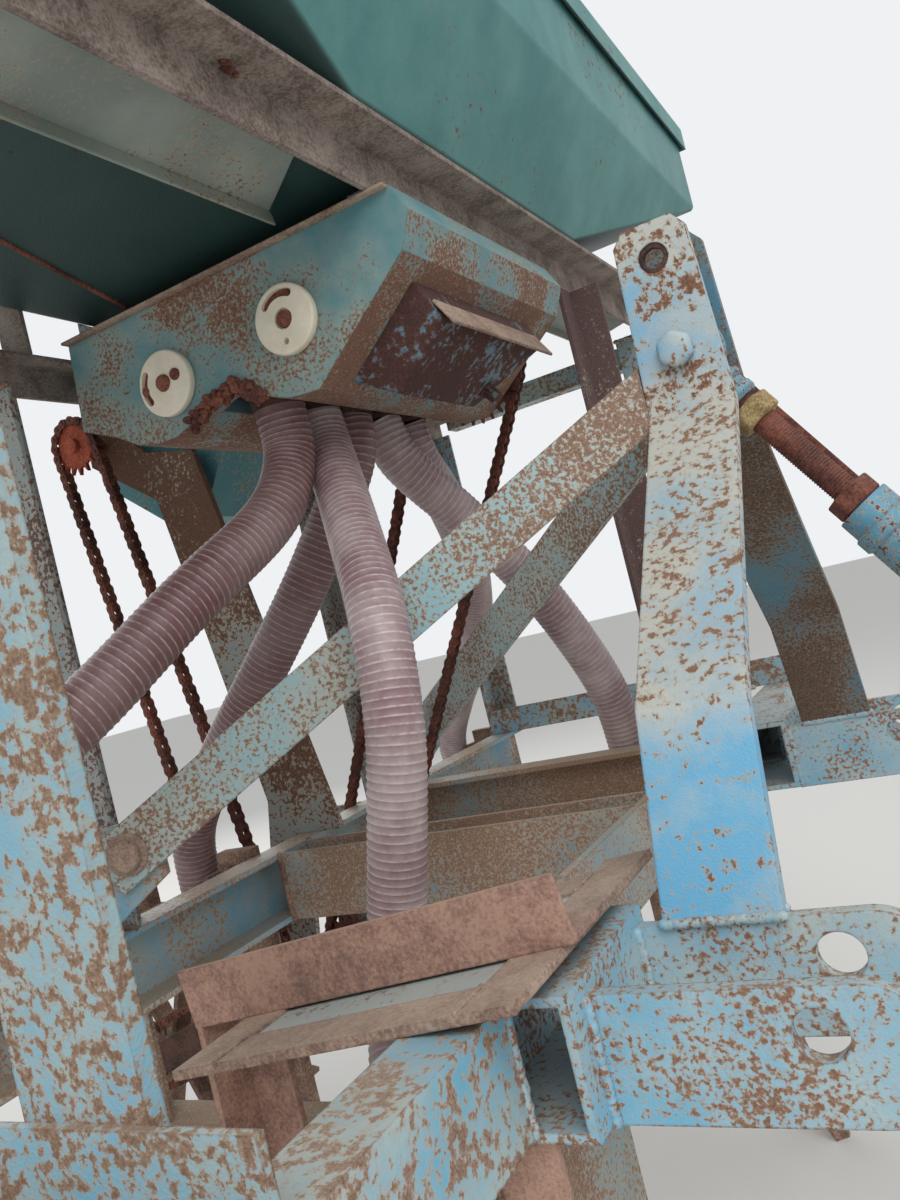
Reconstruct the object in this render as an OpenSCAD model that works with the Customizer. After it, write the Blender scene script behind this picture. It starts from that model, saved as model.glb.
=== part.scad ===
// Five-row tractor-mounted seed drill, standing on its share points.
// X points forward to the tractor, Y to the left, Z up from the ground.
// The modules are drawn from the ground up, with X = 0 at the front faces of the hitch stubs.
// The last lines move everything so that the origin is the middle of the lower hitch axis.

/* [Main frame] */
// Height of the frame's top above the ground
frame_top = 515; // [505:1:530]
// Front edge of the rear channel's flanges, behind the hitch face
rear_x = 507; // [495:1:515]
// Half length of the rear channel
channel_half = 700; // [690:1:715]
// Height of the channels
channel_h = 75; // [70:1:80]
// Flange width of the channels
channel_w = 40; // [38:1:44]
// Wall of the channels
channel_t = 6; // [4:0.5:8]
// Width of the centre member
centre_w = 56; // [50:1:62]
// Top of the right lower rail
rail_top = 340; // [330:1:350]
// Outer face of the right lower rail from the centre plane
rail_y = 260; // [252:1:268]
// Outer face of the left side member from the centre plane
member_y = 295; // [288:1:300]
// Leg of the light angle bars
angle_leg = 40; // [36:1:42]
// Thickness of the light angle bars
angle_t = 5; // [4:0.5:6]
// Width of the flat end posts
end_post_w = 75; // [65:1:80]
// Thickness of the flat end posts
end_post_t = 10; // [8:0.5:12]

/* [Hitch and mast] */
// Outside of the square hitch stubs
stub_s = 80; // [76:1:84]
// Wall of the hitch stubs
stub_t = 6; // [4:0.5:8]
// Inner end of a stub from the centre plane
stub_in = 296; // [292:1:300]
// Outer end of a stub from the centre plane
stub_out = 431; // [425:1:440]
// Diameter of the lower hitch holes
hitch_d = 28; // [22:0.5:29]
// Distance of the lower hitch holes in front of the stubs
hitch_x = 119; // [110:1:130]
// Thickness of the clevis plates
clevis_t = 10; // [8:0.5:12]
// Height of the clevis plates
clevis_h = 72; // [68:1:74]
// Width of the mast bars at the foot
mast_w = 75; // [70:1:80]
// Thickness of the mast bars
mast_t = 10; // [8:0.5:12]
// Gap between the upright ends of the mast bars
mast_gap = 52; // [50:1:56]
// Height of the mast's upper end above the ground
mast_top = 1013; // [1005:1:1030]
// Diameter of the pin that carries the top link
mast_pin_d = 19; // [16:0.5:22]
// Diameter of the open hole in the mast's upper end
mast_hole_d = 26; // [20:0.5:28]
// Length of the top link between its eyes
link_length = 600; // [560:5:640]
// Outer diameter of the top link's tube
link_tube_d = 48; // [42:1:52]
// Diameter of the top link's threaded rods
link_rod_d = 24; // [20:1:28]
// Width of the braces
brace_w = 50; // [45:1:55]
// Thickness of the braces
brace_t = 8; // [6:0.5:10]

/* [Step, stand and front tubes] */
// Width of the step's rim bars
rim_w = 35; // [30:1:40]
// Thickness of the step's rim bars
rim_t = 6; // [5:0.5:8]
// Tilt of the step, rising forward
step_tilt = 7.8; // [6:0.1:9]
// Width of the front tubes beside the stubs
tube_w = 44; // [40:1:48]
// Wall of the front tubes
tube_t = 4; // [3:0.5:6]

/* [Hopper] */
// Half length of the hopper
hopper_half = 646; // [630:1:660]
// Height of the hopper's sloping bottom
slope_h = 153; // [140:1:170]
// Height of the hopper's upright walls
wall_h = 121; // [105:1:140]
// Sheet thickness of the hopper
sheet_t = 3; // [2:0.5:4]
// Depth of the lid's turned-down rim
lid_rim = 28; // [24:1:34]

/* [Seed metering] */
// Half width of the metering housing
housing_half = 174; // [170:1:177]
// Plate thickness of the metering housing
housing_t = 4; // [3:0.5:6]
// Diameter of the round bearing discs
disc_d = 62; // [56:1:66]
// Thickness of the round bearing discs
disc_t = 9; // [6:0.5:12]
// Diameter of the metering shaft
shaft_d = 20; // [16:0.5:24]
// Spacing of the seed outlets
outlet_pitch = 60; // [56:1:62]
// Outer diameter of the seed hoses
hose_d = 50; // [44:1:54]

/* [Chain drive] */
// Pitch of the roller chains
pitch = 12.7; // [12:0.1:13.5]
// Teeth of the metering sprocket
metering_teeth = 32; // [28:2:32]
// Teeth of the sprockets on the countershaft and the wheel
counter_teeth = 20; // [16:4:24]
// Teeth of the rear feed sprocket
feed_teeth = 16; // [12:4:20]
// Thickness of the sprockets
sprocket_t = 5; // [4:0.5:6]
// Width of the chains
chain_w = 14; // [12:0.5:15]

/* [Ground wheel and tines] */
// Radius of the ground wheel's rim
wheel_r = 200; // [190:1:210]
// Width of the ground wheel's rim
wheel_w = 50; // [45:1:54]
// Height of the wheel's lugs
lug_h = 25; // [20:1:30]
// Number of lugs on the wheel
lug_count = 14; // [10:1:18]
// Distance of the wheel's axle behind the countershaft
wheel_back = 305; // [300:1:320]
// Distance of the front rows from the centre plane
front_row = 330; // [325:1:335]
// Width of a tine's shank
shank_w = 50; // [45:1:54]
// Thickness of a tine's shank
shank_t = 16; // [12:0.5:18]
// Outer diameter of a seed boot
boot_d = 42; // [38:1:44]

/* [Hidden] */
$fn = 32;

// Colours of the parts
paint = "#7fb5d5";
teal = "#4f8686";
rust = "#8b6a52";
dark_rust = "#5c4038";
iron_red = "#8a4030";
nylon = "#e3dac0";
hose_colour = "#7b636a";

// Frame levels and places
frame_bottom = frame_top - channel_h;
back_x = -rear_x - channel_w;
rail_bottom = rail_top - channel_h;
stub_bottom = frame_top - stub_s;
hanger_t = 8;
member_front = -stub_s - hanger_t;
end_bar_y = channel_half - angle_leg - 34;
outer_row = channel_half - angle_leg;
beam_x = -127;
beam_corner_z = 1119;
beam_bottom = beam_corner_z - angle_leg;
rear_beam_x = -rear_x - 34;
rear_beam_z = 1071;
end_post_x = -170;
post_rear_y = 211;
post_front_y = 286;

// Mast, pins and braces
mast_x = 18;
mast_pin = [55, 900];
mast_hole_z = 982;
mast_foot = [stub_in + 21, frame_top - 10];
brace_foot = [-462, 272, 591];
brace_head_z = 869;

// Step and stand
step_x0 = -247;
step_x1 = -7;
step_y0 = 474;
step_y1 = 260;
stand_y = 404;
stand_x = -293;

// Metering unit, shafts and drive planes
housing_top = beam_bottom;
shaft_x = -231;
shaft_z = 1009;
agitator_x = -376;
agitator_z = 1000;
outlet_x = -300;
outlet_z = 955;
metering_y = housing_half + 12;
feed_y = 20;
feed_x = -711;
feed_z = 1050;
counter_x = -600;
counter_z = 330;
upright_y = 62;
upright_t = 8;
hanger_y = metering_y + 16;
wheel_chain_y = 97;
arm_y = [76, 168];
arm_t = 8;
wheel_y = 135;
wheel_x = counter_x - wheel_back;
wheel_z = wheel_r + lug_h;
run_gap = 0.06;
seat_gap = 0.3;
roller_r = 4;

// Hopper places
hopper_front = -12;
hopper_back = -702;
fold_z = housing_top + slope_h;
hopper_top = fold_z + wall_h;
bottom_half = housing_half - 4;
bottom_front = [-87, beam_corner_z + seat_gap];
bottom_ridge = [-260, housing_top];
rear_leg = 34;
tube_x = -stub_s;
bracket_y = 205;
end_rail_z = beam_bottom - rear_leg;
hanger_top = frame_top - 2;
clevis_in = 312;
clevis_out = 408;
clevis_z = frame_top - 10 - clevis_h;
hitch_z = 480;
step_z0 = frame_top + (step_x0 + stub_s) * tan(step_tilt);
feed_box_y = 90;
feed_box_w = 100;
axle_d = 24;
cross_c = [-660, 309];
boot_back = 42;
front_x = -115;
tube_start = 200;
tube_end = 440;
bottom_step = [-128, beam_corner_z + seat_gap];
hinge_x = hopper_back - 9;
hinge_z = hopper_top + 4;
hinge_y = 420;
hinge_d = 8;
link_tilt = 57;
hose_sides = 10;
hose_rings = 16;

// Rows of tines: front edge, row place, top, top of the boot, face of the clamp, clamp height
tine_rows = [
    [back_x, -outer_row, frame_top + 10, 400, 0, 450],
    [front_x, -front_row, rail_top + 35, 300, -rail_y, 275],
    [back_x, -20, frame_top + 10, 400, 0, 450],
    [front_x, front_row, frame_top - 4, 430, member_y, 450],
    [back_x, outer_row, frame_top + 10, 400, 0, 450]
];

// Routes of the seed hoses from the outlets to the boots
routes = [
    [[-300, -120, 955], [-300, -124, 905], [-300, -175, 850], [-325, -275, 790], [-376, -400, 705],
     [-470, -510, 640], [-562, -580, 590], [-628, -632, 525], [-639, -655, 455], [-639, -660, 400]],
    [[-300, -60, 955], [-288, -72, 905], [-240, -140, 820], [-200, -200, 740], [-194, -224, 650],
     [-212, -228, 570], [-232, -228, 500], [-238, -245, 440], [-225, -285, 390],
     [-208, -322, 345], [-207, -330, 300]],
    [[-300, 0, 955], [-308, -6, 905], [-370, -30, 810], [-450, -45, 720], [-540, -45, 635],
     [-614, -35, 560], [-637, -22, 480], [-639, -20, 400]],
    [[-300, 60, 955], [-290, 74, 905], [-262, 128, 838], [-235, 190, 762], [-215, 245, 680],
     [-203, 298, 590], [-205, 325, 510], [-207, 330, 430]],
    [[-300, 120, 955], [-300, 132, 915], [-308, 190, 865], [-345, 290, 790], [-420, 410, 700],
     [-500, 510, 640], [-570, 582, 588], [-629, 634, 522], [-639, 655, 455], [-639, 660, 400]]
];

// Flat work drawn in X and Z, extruded along Y from y0 to y1
module side_plate(y0, y1) {
    translate([0, y1, 0]) rotate([90, 0, 0]) linear_extrude(y1 - y0) children();
}

// Flat work drawn in Y and Z, extruded along X from x0 to x1
module front_plate(x0, x1) {
    translate([x0, 0, 0]) rotate([90, 0, 90]) linear_extrude(x1 - x0) children();
}

// Block between two corners
module block(a, b) {
    translate(a) cube(b - a);
}

// Round bar or hole along Y
module bar_y(x, z, d, y0, y1) {
    translate([x, y1, z]) rotate([90, 0, 0]) cylinder(d = d, h = y1 - y0);
}

// Hexagon along Y
module hex_y(x, z, across, y0, y1) {
    translate([x, y1, z]) rotate([90, 0, 0]) cylinder(d = across / cos(30), h = y1 - y0, $fn = 6);
}

// Channel profile with its web on the left and flanges to the right
module channel_2d(w, h, t) {
    difference() {
        square([w, h]);
        translate([t, t]) square([w, h - 2 * t]);
    }
}

// Angle profile with its corner at the origin
module angle_2d(leg, t) {
    square([leg, t]);
    square([t, leg]);
}

module on_side(side) {
    if (side < 0) mirror([0, 1, 0]) children();
    else children();
}

// Unit vector
function unit(v) = v / norm(v);

// Normal to the left of a run from a to b
function left_normal(a, b) = let(d = unit(b - a)) [-d.y, d.x];

// Corner i of a bent strip, moved by t to the left with a mitre
function mitred(pts, i, t) =
    let(last = len(pts) - 1)
    let(n1 = left_normal(pts[max(i - 1, 0)], pts[max(i, 1)]))
    let(n2 = left_normal(pts[min(i, last - 1)], pts[min(i + 1, last)]))
    let(m = unit(n1 + n2))
    pts[i] + m * t / (m * n1);

// Bent strip of thickness t along its outer line
module strip_2d(pts, t) {
    polygon(concat(pts, [for (i = [len(pts) - 1:-1:0]) mitred(pts, i, t)]));
}

// Braces run in a plane turned about Z by this angle
brace_turn = atan2(mast_gap / 2 + mast_t / 2 - brace_foot.y, mast_x - brace_foot.x);
brace_run = norm([mast_x - brace_foot.x, mast_gap / 2 + mast_t / 2 - brace_foot.y]);
brace_rise = atan2(brace_head_z - brace_foot.z, brace_run);

module at_brace_foot() {
    translate(brace_foot) rotate([0, 0, brace_turn]) children();
}

module gusset_plate() {
    drop = brace_foot.z - frame_top;
    reach0 = (back_x - brace_foot.x) / cos(brace_turn);
    reach1 = (-rear_x - brace_foot.x) / cos(brace_turn);
    at_brace_foot() side_plate(-brace_t, 0)
    polygon([
        [reach0, -drop], [reach1, -drop], [28, -26], [28, 26], [-28, 26], [reach0, -drop + 40]
    ]);
}

module rear_channel() {
    color(paint) {
        translate([back_x, channel_half, frame_bottom]) rotate([90, 0, 0])
        linear_extrude(2 * channel_half) channel_2d(channel_w, channel_h, channel_t);
        for (side = [-1, 1]) on_side(side) gusset_plate();
    }
}

// Open-topped centre member and the cross plate that closes the frame in front
module centre_member() {
    color(rust) {
        front_plate(-rear_x, member_front) difference() {
            translate([-centre_w / 2, frame_bottom]) square([centre_w, channel_h]);
            translate([-centre_w / 2 + channel_t, frame_bottom + channel_t])
            square([centre_w - 2 * channel_t, channel_h]);
        }
        block([member_front, -rail_y + channel_w, frame_bottom],
              [-stub_s, member_y - channel_w, frame_top]);
    }
}

// Longitudinal channel with its web on the outside at y
module long_channel(x0, x1, y, z0) {
    front_plate(x0, x1) translate([y, z0]) mirror([1, 0])
    channel_2d(channel_w, channel_h, channel_t);
}

// Plate behind a stub that carries a side member or rail
module hanger_plate(y0, z0) {
    block([member_front, y0, z0], [-stub_s, stub_in + 44, hanger_top]);
}

module side_member_left() {
    color(rust) {
        long_channel(-rear_x, member_front, member_y, frame_bottom);
        hanger_plate(member_y - channel_w, frame_bottom);
    }
}

module side_member_right() {
    color(rust) mirror([0, 1, 0]) {
        long_channel(back_x, member_front, rail_y, rail_bottom);
        hanger_plate(rail_y - channel_w, rail_bottom);
        translate([back_x, rail_y, rail_top]) mirror([0, 1, 0])
        linear_extrude(frame_bottom - rail_top) angle_2d(angle_leg, angle_t);
    }
}

// Rectangular end frame: bar on the rear channel, two uprights and the upper rail
module end_frame() {
    side_y = end_bar_y + angle_leg;
    front_plate(back_x, tube_x + tube_w)
    translate([end_bar_y, frame_top]) angle_2d(angle_leg, angle_t);
    block([end_post_x, end_bar_y - end_post_t, frame_top],
          [end_post_x + end_post_w, end_bar_y, beam_bottom]);
    translate([back_x, side_y, frame_top]) mirror([0, 1, 0])
    linear_extrude(rear_beam_z - rear_leg - frame_top) angle_2d(angle_leg, angle_t);
    front_plate(-rear_x, beam_x + angle_leg)
    translate([side_y, end_rail_z]) angle_2d(rear_leg, angle_t);
    block([end_post_x, end_bar_y, end_rail_z],
          [end_post_x + 40, side_y + angle_t, end_rail_z + angle_t]);
    for (x = [end_post_x + 18, end_post_x + end_post_w - 18])
    hex_y(x, frame_top + 20, 19, end_bar_y - end_post_t - 8, end_bar_y - end_post_t);
}

module end_frame_right() {
    color(paint) mirror([0, 1, 0]) end_frame();
}

module end_frame_left() {
    color(paint) end_frame();
}

// Uprights between the frame and the upper beams
module posts() {
    color(rust) {
        for (side = [-1, 1]) on_side(side)
        translate([rear_beam_x, post_rear_y + rear_leg, frame_top]) mirror([0, 1, 0])
        linear_extrude(rear_beam_z - rear_leg - frame_top) angle_2d(rear_leg, angle_t);
        translate([beam_x, member_y, frame_top]) mirror([0, 1, 0])
        linear_extrude(beam_bottom - frame_top) angle_2d(angle_leg, angle_t);
    }
}

module upper_front_beam() {
    color(rust)
    side_plate(-channel_half, channel_half)
    translate([beam_x, beam_corner_z]) mirror([0, 1]) angle_2d(angle_leg, angle_t);
}

// Rear beam with the two plates that carry the back of the hopper
module upper_rear_beam() {
    front_z = hopper_bottom_z(-rear_x);
    back_z = hopper_bottom_z(rear_beam_x);
    color(rust) {
        side_plate(-channel_half, channel_half)
        translate([rear_beam_x, rear_beam_z]) mirror([0, 1]) angle_2d(rear_leg, angle_t);
        for (side = [-1, 1]) on_side(side)
        side_plate(bracket_y, bracket_y + angle_t)
        polygon([
            [rear_beam_x, rear_beam_z], [-rear_x, rear_beam_z], [-rear_x, front_z],
            [rear_beam_x, back_z]
        ]);
    }
}

// Hitch stub with its two clevis plates for one lower link
module hitch() {
    difference() {
        block([-stub_s, stub_in, stub_bottom], [0, stub_out, frame_top]);
        block([-stub_s + stub_t, stub_in - 1, stub_bottom + stub_t],
              [-stub_t, stub_out + 1, frame_top - stub_t]);
    }
    for (y = [clevis_in, clevis_out]) difference() {
        side_plate(y - clevis_t, y) union() {
            translate([0, clevis_z]) square([hitch_x + 20, clevis_h]);
            translate([hitch_x + 20, clevis_z + clevis_h / 2]) circle(d = clevis_h, $fn = 48);
        }
        bar_y(hitch_x, hitch_z, hitch_d, y - clevis_t - 1, y + 1);
    }
}

module hitch_right() {
    color(paint) mirror([0, 1, 0]) hitch();
}

module hitch_left() {
    color(paint) hitch();
}

// Bent flat bar from the inner clevis plate up to the top link
module mast_bar() {
    outer = mast_gap / 2 + mast_t;
    line = [[clevis_in, clevis_z + clevis_h], [264, 633], [outer, 850], [outer, mast_top]];
    difference() {
        intersection() {
            front_plate(mast_x, mast_x + mast_w) difference() {
                strip_2d(line, mast_t);
                translate([0, line[0].y - 20]) square([2 * stub_in, 20]);
            }
            side_plate(0, stub_out)
            polygon([
                [mast_x, 0], [mast_x + mast_w, 0], [mast_x + mast_w, 850],
                [mast_x + mast_w - 6, mast_top - 12], [mast_x + mast_w - 16, mast_top],
                [mast_x + 15, mast_top], [mast_x + 5, mast_top - 12], [mast_x, 850]
            ]);
        }
        bar_y(mast_pin.x, mast_pin.y, mast_pin_d, 0, stub_in);
        bar_y(mast_pin.x, mast_hole_z, mast_hole_d, 0, stub_in);
    }
}

module mast_bar_right() {
    color(paint) mirror([0, 1, 0]) mast_bar();
}

module mast_bar_left() {
    color(rust) mast_bar();
}

// Pin bolt through the mast bars and the eye of the top link
module mast_bolts() {
    outer = mast_gap / 2 + mast_t;
    color(rust) {
        bar_y(mast_pin.x, mast_pin.y, mast_pin_d - 2 * run_gap, -outer - 2, outer + 18);
        hex_y(mast_pin.x, mast_pin.y, 30, -outer - 13, -outer);
        hex_y(mast_pin.x, mast_pin.y, 30, outer, outer + 15);
    }
}

// Flat brace from the gusset plate up to the rear edge of a mast bar
module brace() {
    intersection() {
        at_brace_foot() rotate([0, -brace_rise, 0])
        block([-25, 0, -brace_w / 2], [2 * brace_run, brace_t, brace_w / 2]);
        block([-2 * rear_x, 0, 0], [mast_x, stub_out, mast_top]);
    }
    at_brace_foot() hex_y(0, 0, 24, brace_t, brace_t + 10);
}

module brace_right() {
    color(paint) mirror([0, 1, 0]) brace();
}

module brace_left() {
    color(paint) brace();
}

// Frame of reference of the tilted step: X along its slope, Z on its underside
module on_step() {
    translate([step_x0, 0, step_z0]) rotate([0, -step_tilt, 0]) children();
}

// Step of flat bars round a sheet panel, resting on the right stub
module step() {
    length = (step_x1 - step_x0) / cos(step_tilt);
    color(paint) on_step() {
        block([0, -step_y0, 0], [length, -step_y0 + rim_w, rim_t]);
        block([0, -step_y1 - rim_w, 0], [length, -step_y1, rim_t]);
        block([0, -step_y0, 0], [rim_w, -step_y1, rim_t]);
        block([length - rim_w, -step_y0, 0], [length, -step_y1 + 30, rim_t]);
        block([rim_w / 2, -step_y0 + rim_w / 2, 0], [length - rim_w / 2, -step_y1 - rim_w / 2, 3]);
    }
}

// Stand: sloping arm over the step, a rear leg from its end and a front leg under the stub
module stand() {
    arm_length = (step_x1 + 8 - stand_x) / cos(step_tilt);
    color(rust) {
        on_step() translate([(stand_x - step_x0) / cos(step_tilt), -stand_y, rim_t])
        rotate([90, 0, 90]) linear_extrude(arm_length) angle_2d(angle_leg, angle_t);
        translate([stand_x, -stand_y + angle_leg, 0]) mirror([0, 1, 0])
        linear_extrude(step_z0 + 4) angle_2d(angle_leg, angle_t);
        translate([-stub_s + 10, -stub_out + 6, 0])
        linear_extrude(stub_bottom) angle_2d(angle_leg, angle_t);
    }
}

// Rectangular tubes from the outer ends of the stubs to the end frames
module front_tubes() {
    color(paint) for (side = [-1, 1]) on_side(side)
    side_plate(stub_out, channel_half) translate([tube_x, frame_bottom]) difference() {
        square([tube_w, channel_h]);
        translate([tube_t, tube_t]) square([tube_w - 2 * tube_t, channel_h - 2 * tube_t]);
    }
}

// Side view of the metering housing with its two lobes
module housing_2d() {
    polygon([
        [-497, 991], [-453, 971], [-431, 957], [-405, 951], [-382, 951], [-366, 956],
        [-330, 969], [-304, 975], [-275, 955], [-250, 945], [-218, 942], [-109, 1024],
        [-95, 1053], [-108, housing_top], [-490, housing_top]
    ]);
}

module metering_housing() {
    color(teal) difference() {
        side_plate(-housing_half, housing_half) housing_2d();
        block([outlet_x - 42, -2.5 * outlet_pitch, 0], [outlet_x + 42, 2.5 * outlet_pitch, 985]);
        bar_y(shaft_x, shaft_z, shaft_d, 60, housing_half + 1);
    }
}

// Plate with five tapered seed outlets
module seed_outlets() {
    color(rust) {
        block([outlet_x - 41, -2.5 * outlet_pitch + 1, 977],
              [outlet_x + 41, 2.5 * outlet_pitch - 1, 985]);
        for (row = [-2:2]) translate([outlet_x, row * outlet_pitch, outlet_z])
        cylinder(d1 = hose_d, d2 = hose_d + 4, h = 977 - outlet_z);
    }
}

// Round discs that close the bearings on both sides of the housing
module bearing_discs() {
    color(nylon) {
        for (place = [[shaft_x, shaft_z], [agitator_x, agitator_z]])
        bar_y(place.x, place.y, disc_d, -housing_half - disc_t, -housing_half);
        difference() {
            bar_y(shaft_x, shaft_z, disc_d, housing_half, housing_half + 5);
            bar_y(shaft_x, shaft_z, shaft_d, housing_half - 1, housing_half + 6);
        }
        bar_y(agitator_x, agitator_z, disc_d, housing_half, housing_half + 5);
    }
}

// Pitch radius of a sprocket
function pitch_r(teeth) = pitch / (2 * sin(180 / teeth));

// Sprocket along Y, with a tooth gap centred at the angle phase in X and Z
module sprocket(x, z, teeth, y, phase, hole_d) {
    step = 360 / teeth;
    root = pitch_r(teeth) - roller_r - 0.4;
    tip = pitch_r(teeth) + 4.5;
    form = [[root, -0.26], [root, 0.26], [root + 4, 0.36], [tip, 0.47], [tip, 0.53], [root + 4, 0.64]];
    side_plate(y - sprocket_t / 2, y + sprocket_t / 2) translate([x, z]) difference() {
        polygon([
            for (i = [0:teeth - 1]) for (p = form)
            let(a = phase + (i + p[1]) * step) p[0] * [cos(a), sin(a)]
        ]);
        if (hole_d > 0) circle(d = hole_d);
        if (teeth > 30) for (a = [45:90:315])
        translate(0.62 * root * [cos(a), sin(a)]) circle(r = 0.2 * root);
    }
}

// Closed belt line round two circles, moved outwards by off
function belt(c1, r1, c2, r2, off, steps) =
    let(phi = atan2(c2.y - c1.y, c2.x - c1.x))
    let(beta = acos((r1 - r2) / norm(c2 - c1)))
    concat(
        [for (k = [0:steps]) let(a = phi + beta + k * (360 - 2 * beta) / steps)
            c1 + (r1 + off) * [cos(a), sin(a)]],
        [for (k = [0:steps]) let(a = phi - beta + k * 2 * beta / steps)
            c2 + (r2 + off) * [cos(a), sin(a)]]
    );

// Length of the belt line
function belt_length(c1, r1, c2, r2) =
    let(d = norm(c2 - c1), beta = acos((r1 - r2) / d))
    2 * sqrt(d * d - pow(r1 - r2, 2)) + PI / 180 * (r1 * (360 - 2 * beta) + r2 * 2 * beta);

// Point on a circle
function round_point(c, r, a) = c + r * [cos(a), sin(a)];

// Point of the belt line at the distance s along it, against the clock
function belt_point(c1, r1, c2, r2, s) =
    let(phi = atan2(c2.y - c1.y, c2.x - c1.x), beta = acos((r1 - r2) / norm(c2 - c1)))
    let(run = sqrt(pow(norm(c2 - c1), 2) - pow(r1 - r2, 2)), deg = 180 / PI)
    let(s1 = r1 * (360 - 2 * beta) / deg, s2 = s1 + run, s3 = s2 + r2 * 2 * beta / deg)
    let(t1 = phi - beta, t2 = phi + beta)
    s < s1 ? round_point(c1, r1, t2 + s / r1 * deg)
    : s < s2 ? round_point(c1, r1, t1) + (s - s1) * [-sin(t1), cos(t1)]
    : s < s3 ? round_point(c2, r2, t1 + (s - s2) / r2 * deg)
    : round_point(c2, r2, t2) + (s - s3) * [-sin(t2), cos(t2)];

// Outline of a chain's link plates: a crest at each pin and a waist between pins
function links_line(c1, r1, c2, r2, links, length) = [
    for (i = [0:2 * links - 1])
        let(s = (i + 0.5) * length / links / 2, p = belt_point(c1, r1, c2, r2, s))
        let(q = belt_point(c1, r1, c2, r2, s + 0.5), d = unit(q - p))
        p + (i % 2 == 0 ? 6.2 : 4.4) * [d.y, -d.x]
];

// Roller chain round two sprockets, slotted for their teeth where it wraps them
module chain(c1, teeth1, c2, teeth2, y) {
    r1 = pitch_r(teeth1);
    r2 = pitch_r(teeth2);
    length = belt_length(c1, r1, c2, r2);
    links = 2 * round(length / pitch / 2);
    slot = sprocket_t / 2 + 0.7;
    difference() {
        side_plate(y - chain_w / 2, y + chain_w / 2) difference() {
            polygon(links_line(c1, r1, c2, r2, links, length));
            polygon(belt(c1, r1, c2, r2, -5.2, 16));
        }
        for (wheel = [[c1, r1], [c2, r2]])
        bar_y(wheel[0].x, wheel[0].y, 2 * (wheel[1] + 9), y - slot, y + slot);
    }
}

// Angle of the line between two sprockets, where the far one has a tooth gap
function line_angle(c1, c2) = atan2(c2.y - c1.y, c2.x - c1.x);

metering_c = [shaft_x, shaft_z];
counter_c = [counter_x, counter_z];
feed_c = [feed_x, feed_z];
wheel_c = [wheel_x, wheel_z];

module metering_rotor() {
    color(iron_red) {
        bar_y(shaft_x, shaft_z, shaft_d - 2 * run_gap, 70, metering_y + 12);
        sprocket(shaft_x, shaft_z, metering_teeth, metering_y,
                 line_angle(counter_c, metering_c), 0);
    }
}

module feed_rotor() {
    color(iron_red) {
        bar_y(feed_x, feed_z, shaft_d - 2 * run_gap, feed_y - 10, feed_box_y + 20);
        sprocket(feed_x, feed_z, feed_teeth, feed_y, line_angle(counter_c, feed_c), 0);
    }
}

module countershaft() {
    color(iron_red) {
        bar_y(counter_x, counter_z, shaft_d - 2 * run_gap, feed_y - 10, hanger_y + 14);
        sprocket(counter_x, counter_z, counter_teeth, feed_y, line_angle(feed_c, counter_c), 0);
        sprocket(counter_x, counter_z, counter_teeth, wheel_chain_y,
                 line_angle(wheel_c, counter_c), 0);
        sprocket(counter_x, counter_z, counter_teeth, metering_y,
                 line_angle(metering_c, counter_c), 0);
    }
}

module chain_metering() {
    color(dark_rust) chain(metering_c, metering_teeth, counter_c, counter_teeth, metering_y);
}

module chain_feed() {
    color(dark_rust) chain(counter_c, counter_teeth, feed_c, feed_teeth, feed_y);
}

module chain_wheel() {
    color(dark_rust) chain(counter_c, counter_teeth, wheel_c, counter_teeth, wheel_chain_y);
}

// Upright plate that carries the feed shaft and the countershaft, and the second hanger
module drive_upright() {
    color(rust) {
        difference() {
            side_plate(upright_y, upright_y + upright_t)
            polygon([
                [-735, 1075], [-690, 1075], [-640, 1022], [-567, 1005], [-482, frame_top],
                [back_x, frame_top], [back_x, frame_bottom], [counter_x + 30, counter_z - 10],
                [counter_x + 18, counter_z - 28], [counter_x - 18, counter_z - 28],
                [counter_x - 34, counter_z], [-581, 560], [-640, 960], [-735, 1030]
            ]);
            bar_y(feed_x, feed_z, shaft_d, upright_y - 1, upright_y + upright_t + 1);
            bar_y(counter_x, counter_z, shaft_d, upright_y - 1, upright_y + upright_t + 1);
        }
        difference() {
            side_plate(hanger_y, hanger_y + upright_t)
            polygon([
                [back_x, frame_top], [back_x, frame_bottom], [counter_x + 30, counter_z - 10],
                [counter_x + 18, counter_z - 28], [counter_x - 18, counter_z - 28],
                [counter_x - 34, counter_z], [back_x - 50, frame_top]
            ]);
            bar_y(counter_x, counter_z, shaft_d, hanger_y - 1, hanger_y + upright_t + 1);
        }
    }
}

// Rear feed box with a vee bottom, hung behind the upper rear beam
module feed_box() {
    color(teal) difference() {
        side_plate(feed_box_y, feed_box_y + feed_box_w)
        polygon([
            [rear_beam_x, rear_beam_z], [rear_beam_x, 1000], [-594, 925], [-640, 921],
            [-750, 1010], [-750, 1090], [-560, 1090]
        ]);
        bar_y(feed_x, feed_z, shaft_d, feed_box_y - 1, feed_box_y + 26);
    }
}

// Trailing fork that carries the ground wheel behind the countershaft
module wheel_arm() {
    length = norm(wheel_c - counter_c);
    color(rust) {
        for (y = arm_y) difference() {
            side_plate(y, y + arm_t) union() {
                translate(counter_c) circle(d = 52);
                translate(wheel_c) circle(d = 52);
                translate(counter_c) rotate(line_angle(counter_c, wheel_c))
                translate([0, -20]) square([length, 40]);
            }
            bar_y(counter_x, counter_z, shaft_d, y - 1, y + arm_t + 1);
        }
        bar_y(cross_c.x, cross_c.y, 20, arm_y[0] + arm_t, arm_y[1]);
        bar_y(wheel_x, wheel_z, axle_d - 2 * run_gap, arm_y[0] - 8, arm_y[1] + arm_t + 8);
    }
}

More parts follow.
